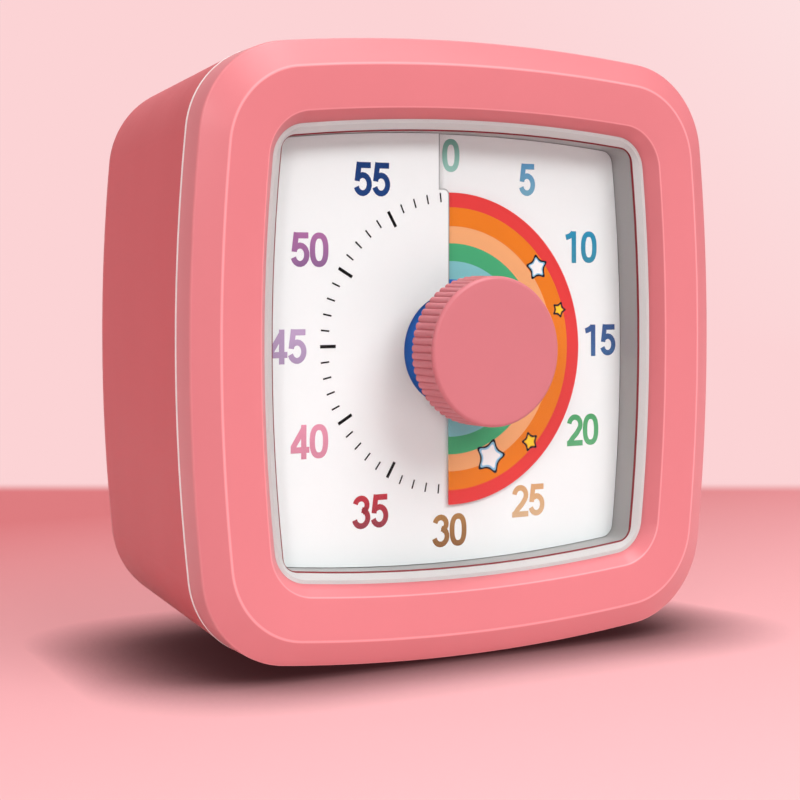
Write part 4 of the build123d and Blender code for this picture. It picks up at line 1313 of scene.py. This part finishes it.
@dataclass
class Room:
    """Pale floor that sweeps up into a backdrop."""

    floor: Colour = srgb(232, 180, 184)
    far_floor: Colour = srgb(188, 102, 105)
    bounce: Colour = (0.72, 0.56, 0.56)
    back: Colour = srgb(252, 211, 213)
    glow: Colour = srgb(252, 228, 229)
    width: float = 6.0
    front: float = -1.6
    rear: float = 1.6
    height: float = 2.4
    azimuth: float = 33.11
    line: float = 0.203
    softness: float = 0.012
    shaded: float = 0.35
    contact: float = 0.019
    contact_depth: float = 3.2
    contact_shade: Colour = srgb(56, 28, 30)
    plain_share: float = 0.62
    open_light: float = 1.45

    def build(self) -> None:
        """Models the floor and the backdrop."""
        Workbench.clear()
        bpy.ops.mesh.primitive_plane_add(size=1.0)
        sweep = bpy.context.object
        sweep.name = sweep.data.name = "room_sweep"
        for vertex in sweep.data.vertices:
            vertex.co = Vector((vertex.co.x * self.width, self.front if vertex.co.y < 0 else self.rear, 0.0))
        bpy.ops.object.mode_set(mode="EDIT")
        edit = bmesh.from_edit_mesh(sweep.data)
        for part in (*edit.faces, *edit.edges, *edit.verts):
            part.select = False
        for vertex in edit.verts:
            vertex.select = vertex.co.y > 0
        edit.select_flush(True)
        bmesh.update_edit_mesh(sweep.data)
        bpy.ops.mesh.extrude_region_move(TRANSFORM_OT_translate={"value": (0, 0, self.height)})
        bpy.ops.object.mode_set(mode="OBJECT")
        Workbench.bevel(sweep, 600.0, 12, 60)
        Workbench.smooth(sweep, 60)
        dress(sweep, self.material())

    def material(self) -> bpy.types.Material:
        """Matt floor that turns to plain paper behind a line across the view, with a painted contact shadow
        round the timer.
        """
        recipe = Recipe("room_paper")
        x, y, z = recipe.place()
        turn = radians(self.azimuth)
        behind = (x * sin(turn) + y * cos(turn) + z) * MM
        fibre = recipe.noise(1.5, 3.0)
        sideways = (x * cos(turn) - y * sin(turn)) * MM
        # The floor darkens towards the back; its darkening to the left is painted shade of the timer's
        # shadow.
        depth = (behind - self.line - 0.7 * sideways) / self.shaded + 1.0
        tint = recipe.mix(depth + 0.02 * fibre, self.floor, self.far_floor)
        # Painted contact shadow: dark near the timer, by ambient occlusion.
        sky = recipe.node("ShaderNodeAmbientOcclusion", {"samples": 16}, {"Distance": self.contact})
        bare = Signal(recipe, sky.outputs["AO"]) ** self.contact_depth
        tint = recipe.mix(bare, self.contact_shade, tint)
        camera_ray = Signal(recipe, recipe.node("ShaderNodeLightPath").outputs["Is Camera Ray"])
        matt = recipe.shader(Base_Color=recipe.mix(camera_ray, self.bounce, tint), Roughness=0.9)
        lit = recipe.node("ShaderNodeEmission", inputs={0: tint, 1: self.open_light})
        ground = recipe.node("ShaderNodeMixShader", inputs={0: camera_ray * self.plain_share, 1: matt,
                                                            2: lit.outputs[0]})
        # Painted glow: the backdrop turns lighter towards the upper right.
        paper = recipe.mix(sideways / 0.7 + z * MM / 0.9 - 0.3, self.back, self.glow)
        plain = recipe.node("ShaderNodeEmission", inputs={0: paper, 1: 1.0})
        path = recipe.node("ShaderNodeLightPath")
        kinds = ("Is Camera Ray", "Is Glossy Ray", "Is Transmission Ray")
        seen = sum(Signal(recipe, path.outputs[kind]) for kind in kinds) > 0.5
        limits = {"interpolation_type": "SMOOTHSTEP"}
        fade = {0: behind, 1: self.line - self.softness, 2: self.line + self.softness}
        share = seen * Signal(recipe, recipe.node("ShaderNodeMapRange", limits, fade).outputs[0])
        shades = {0: share, 1: ground.outputs[0], 2: plain.outputs[0]}
        return recipe.finish(recipe.node("ShaderNodeMixShader", inputs=shades).outputs[0])


@dataclass(frozen=True)
class SoftLamp:
    """Distant round lamp that lights the timer and the whole floor alike."""

    name: str
    place: tuple[float, float, float]
    spread: float
    strength: float

    def build(self) -> None:
        """Hangs the lamp, turned towards the timer."""
        data = bpy.data.lights.new(self.name, "SUN")
        data.angle = radians(self.spread)
        data.energy = self.strength
        lamp = bpy.data.objects.new(self.name, data)
        lamp.location = self.place
        lamp.rotation_euler = (-Vector(self.place)).to_track_quat("-Z", "Y").to_euler()
        bpy.context.scene.collection.objects.link(lamp)


@dataclass
class Studio:
    """Soft light from the upper right, filled from all round."""

    lamps: tuple[SoftLamp, ...] = (
        SoftLamp("key_light", (0.76, -2.0, 2.1), 44.0, 2.32),
        SoftLamp("left_light", (-2.0, -2.0, 1.2), 17.0, 0.9),
        SoftLamp("top_light", (0.5, -0.5, 2.6), 28.0, 1.3),
    )
    ambient: float = 0.25
    backdrop: Colour = srgb(252, 211, 213)

    def build(self) -> None:
        """Sets the lamps, the world and the colour view."""
        for lamp in self.lamps:
            lamp.build()
        bpy.context.scene.world = self.world()
        bpy.context.scene.view_settings.view_transform = "Standard"

    def world(self) -> bpy.types.World:
        """White light from all round, before which the camera sees plain paper."""
        world = bpy.data.worlds.new("studio_world")
        world.use_nodes = True
        nodes, links = world.node_tree.nodes, world.node_tree.links
        light, paper = nodes["Background"], nodes.new("ShaderNodeBackground")
        for node, colour, strength in ((light, (1.0, 1.0, 1.0), self.ambient), (paper, self.backdrop, 1.0)):
            node.inputs[0].default_value = (*colour, 1.0)
            node.inputs[1].default_value = strength
        seen, mixed = nodes.new("ShaderNodeLightPath"), nodes.new("ShaderNodeMixShader")
        links.new(seen.outputs["Is Camera Ray"], mixed.inputs[0])
        links.new(light.outputs[0], mixed.inputs[1])
        links.new(paper.outputs[0], mixed.inputs[2])
        links.new(mixed.outputs[0], nodes["World Output"].inputs[0])
        return world


@dataclass
class Viewpoint:
    """Camera at the left of the timer, a little above its middle."""

    datum: Datum
    azimuth: float = 33.11
    elevation: float = 2.45
    distance: float = 283.8
    lens: float = 89.06
    shift: tuple[float, float] = (-0.0878, -0.0624)

    def build(self) -> None:
        """Makes the camera and gives it to the scene."""
        turn, tilt = radians(self.azimuth), radians(self.elevation)
        forward = Vector((sin(turn) * cos(tilt), cos(turn) * cos(tilt), -sin(tilt)))
        data = bpy.data.cameras.new("viewpoint")
        data.lens = self.lens
        data.sensor_width = 36.0
        data.shift_x, data.shift_y = self.shift
        data.clip_start, data.clip_end = 0.01, 20.0
        camera = bpy.data.objects.new("viewpoint", data)
        camera.location = self.datum.point(0, 0, 0) - forward * self.distance * MM
        camera.rotation_euler = forward.to_track_quat("-Z", "Y").to_euler()
        bpy.context.scene.collection.objects.link(camera)
        bpy.context.scene.camera = camera


# ---- the whole scene -------------------------------------------------------------------------


PINK = srgb(214, 120, 126)
WHITE = srgb(236, 236, 234)
DISC_BANDS = (
    (0.0, srgb(52, 122, 216)),
    (0.445, srgb(138, 208, 214)),
    (0.559, srgb(75, 180, 125)),
    (0.672, srgb(248, 178, 122)),
    (0.785, srgb(240, 130, 32)),
    (0.905, srgb(232, 65, 65)),
)


def carried_finishes(datum: Datum) -> dict[object, tuple[str, ...]]:
    """Finish of each group of carried nodes.

    Args:
        datum: The timer's datum.

    Returns:
        The nodes' names, by finish.
    """
    coil_low, coil_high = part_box("coil")
    cell_low, cell_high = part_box("battery_cell")
    wall_y = datum.edge_y + 1.1
    flange, sleeve = 0.8, 1.5
    wound = (coil_low.x / MM + flange, coil_high.x / MM - flange)
    line = (wall_y - 0.15, wall_y + 0.12)
    seam_y = datum.edge_y + 5.1
    # The frame's grey, darker than its white flange, is partly painted shade of the rim inside the window.
    frame_finish = LinedFramePlastic(
        "frame_plastic", srgb(206, 206, 205), 0.42, line_y=line, axis_z=datum.axis_z
    )
    plate_finish = SlitPlatePlastic(
        "plate_plastic",
        srgb(244, 250, 250),
        0.5,
        0.12,
        0.002,
        0.01,
        axis_z=datum.axis_z,
        flap_y=seam_y,
    )
    return {
        # The shell's pink is darker and redder than the bezel's: painted shade of its sides.
        MouldedPlastic("shell_plastic_painted_shade", srgb(203, 77, 84), 0.42): ("rear_shell", "battery_door"),
        frame_finish: ("inner_frame",),
        plate_finish: ("dial_plate",),
        MouldedPlastic("inner_plastic", srgb(250, 250, 248), 0.45): ("chassis_plate", "disc_hub"),
        BandedDiscPrint("disc_bands", datum.axis_z, 22.7, DISC_BANDS): ("time_disc",),
        MouldedPlastic("movement_plastic", srgb(206, 206, 198), 0.4): (
            "movement_case_front",
            "movement_case_back",
            "gear_bridge",
            "centre_wheel",
            "third_wheel",
            "second_wheel",
            "intermediate_wheel",
        ),
        MouldedPlastic("black_plastic", srgb(30, 30, 32), 0.5, 0.2, 0.006): (
            "volume_switch_body",
            "volume_slider",
            "piezo_buzzer",
            "control_chip",
        ),
        WorkedMetal("plated_steel", srgb(190, 190, 194)): (
            "rear_screws",
            "chassis_screws",
            "movement_screws",
            "clutch_spring",
            "battery_contact_positive",
            "battery_spring",
            "quartz_crystal",
        ),
        WorkedMetal("core_iron", srgb(120, 120, 124), 0.4): ("stator", "rotor"),
        WorkedMetal("drawn_brass", srgb(200, 168, 100), 0.25): (
            "spindle",
            "contact_leaf",
            "contact_anvil",
            "trip_cam",
        ),
        CoilWinding("coil_wire", srgb(190, 96, 50), srgb(225, 225, 218), wound): ("coil",),
        SolderMask("board_lacquer", srgb(18, 92, 56), srgb(214, 178, 120)): ("circuit_board",),
        CellWrap(
            "cell_sleeve",
            srgb(62, 66, 72),
            srgb(196, 140, 70),
            srgb(196, 196, 200),
            cell_high.x / MM - 14.0,
            (cell_low.x / MM + 0.7, cell_high.x / MM - sleeve - 1.3),
        ): ("battery_cell",),
    }


def main() -> None:
    """Builds the timer's looks, the room, the lights and the camera."""
    logging.basicConfig(level=logging.INFO, format="%(name)s: %(message)s")
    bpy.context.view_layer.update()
    datum = Datum.from_frame()
    bezel_finish = MouldedPlastic(
        "bezel_plastic", PINK, 0.36, edge_layer="painted_highlight", edge_colour=srgb(255, 172, 176)
    )
    FrontBezel(datum, bezel_finish).build()
    WindowLens(datum, ClearWindow("window_clear")).build()
    RibbedKnob(datum, MouldedPlastic("knob_plastic", srgb(198, 112, 119), 0.42)).build()
    DialPrint(datum, Helicoid(5.3 + 0.7 - 0.2, 1.4, -4.5)).build()
    DiscPrint(datum, Helicoid(5.3 - 0.125, 1.4, -170.0)).build()
    CarriedPieces(carried_finishes(datum)).build()
    Room().build()
    Studio().build()
    Viewpoint(datum).build()


if __name__ == "__main__":
    main()
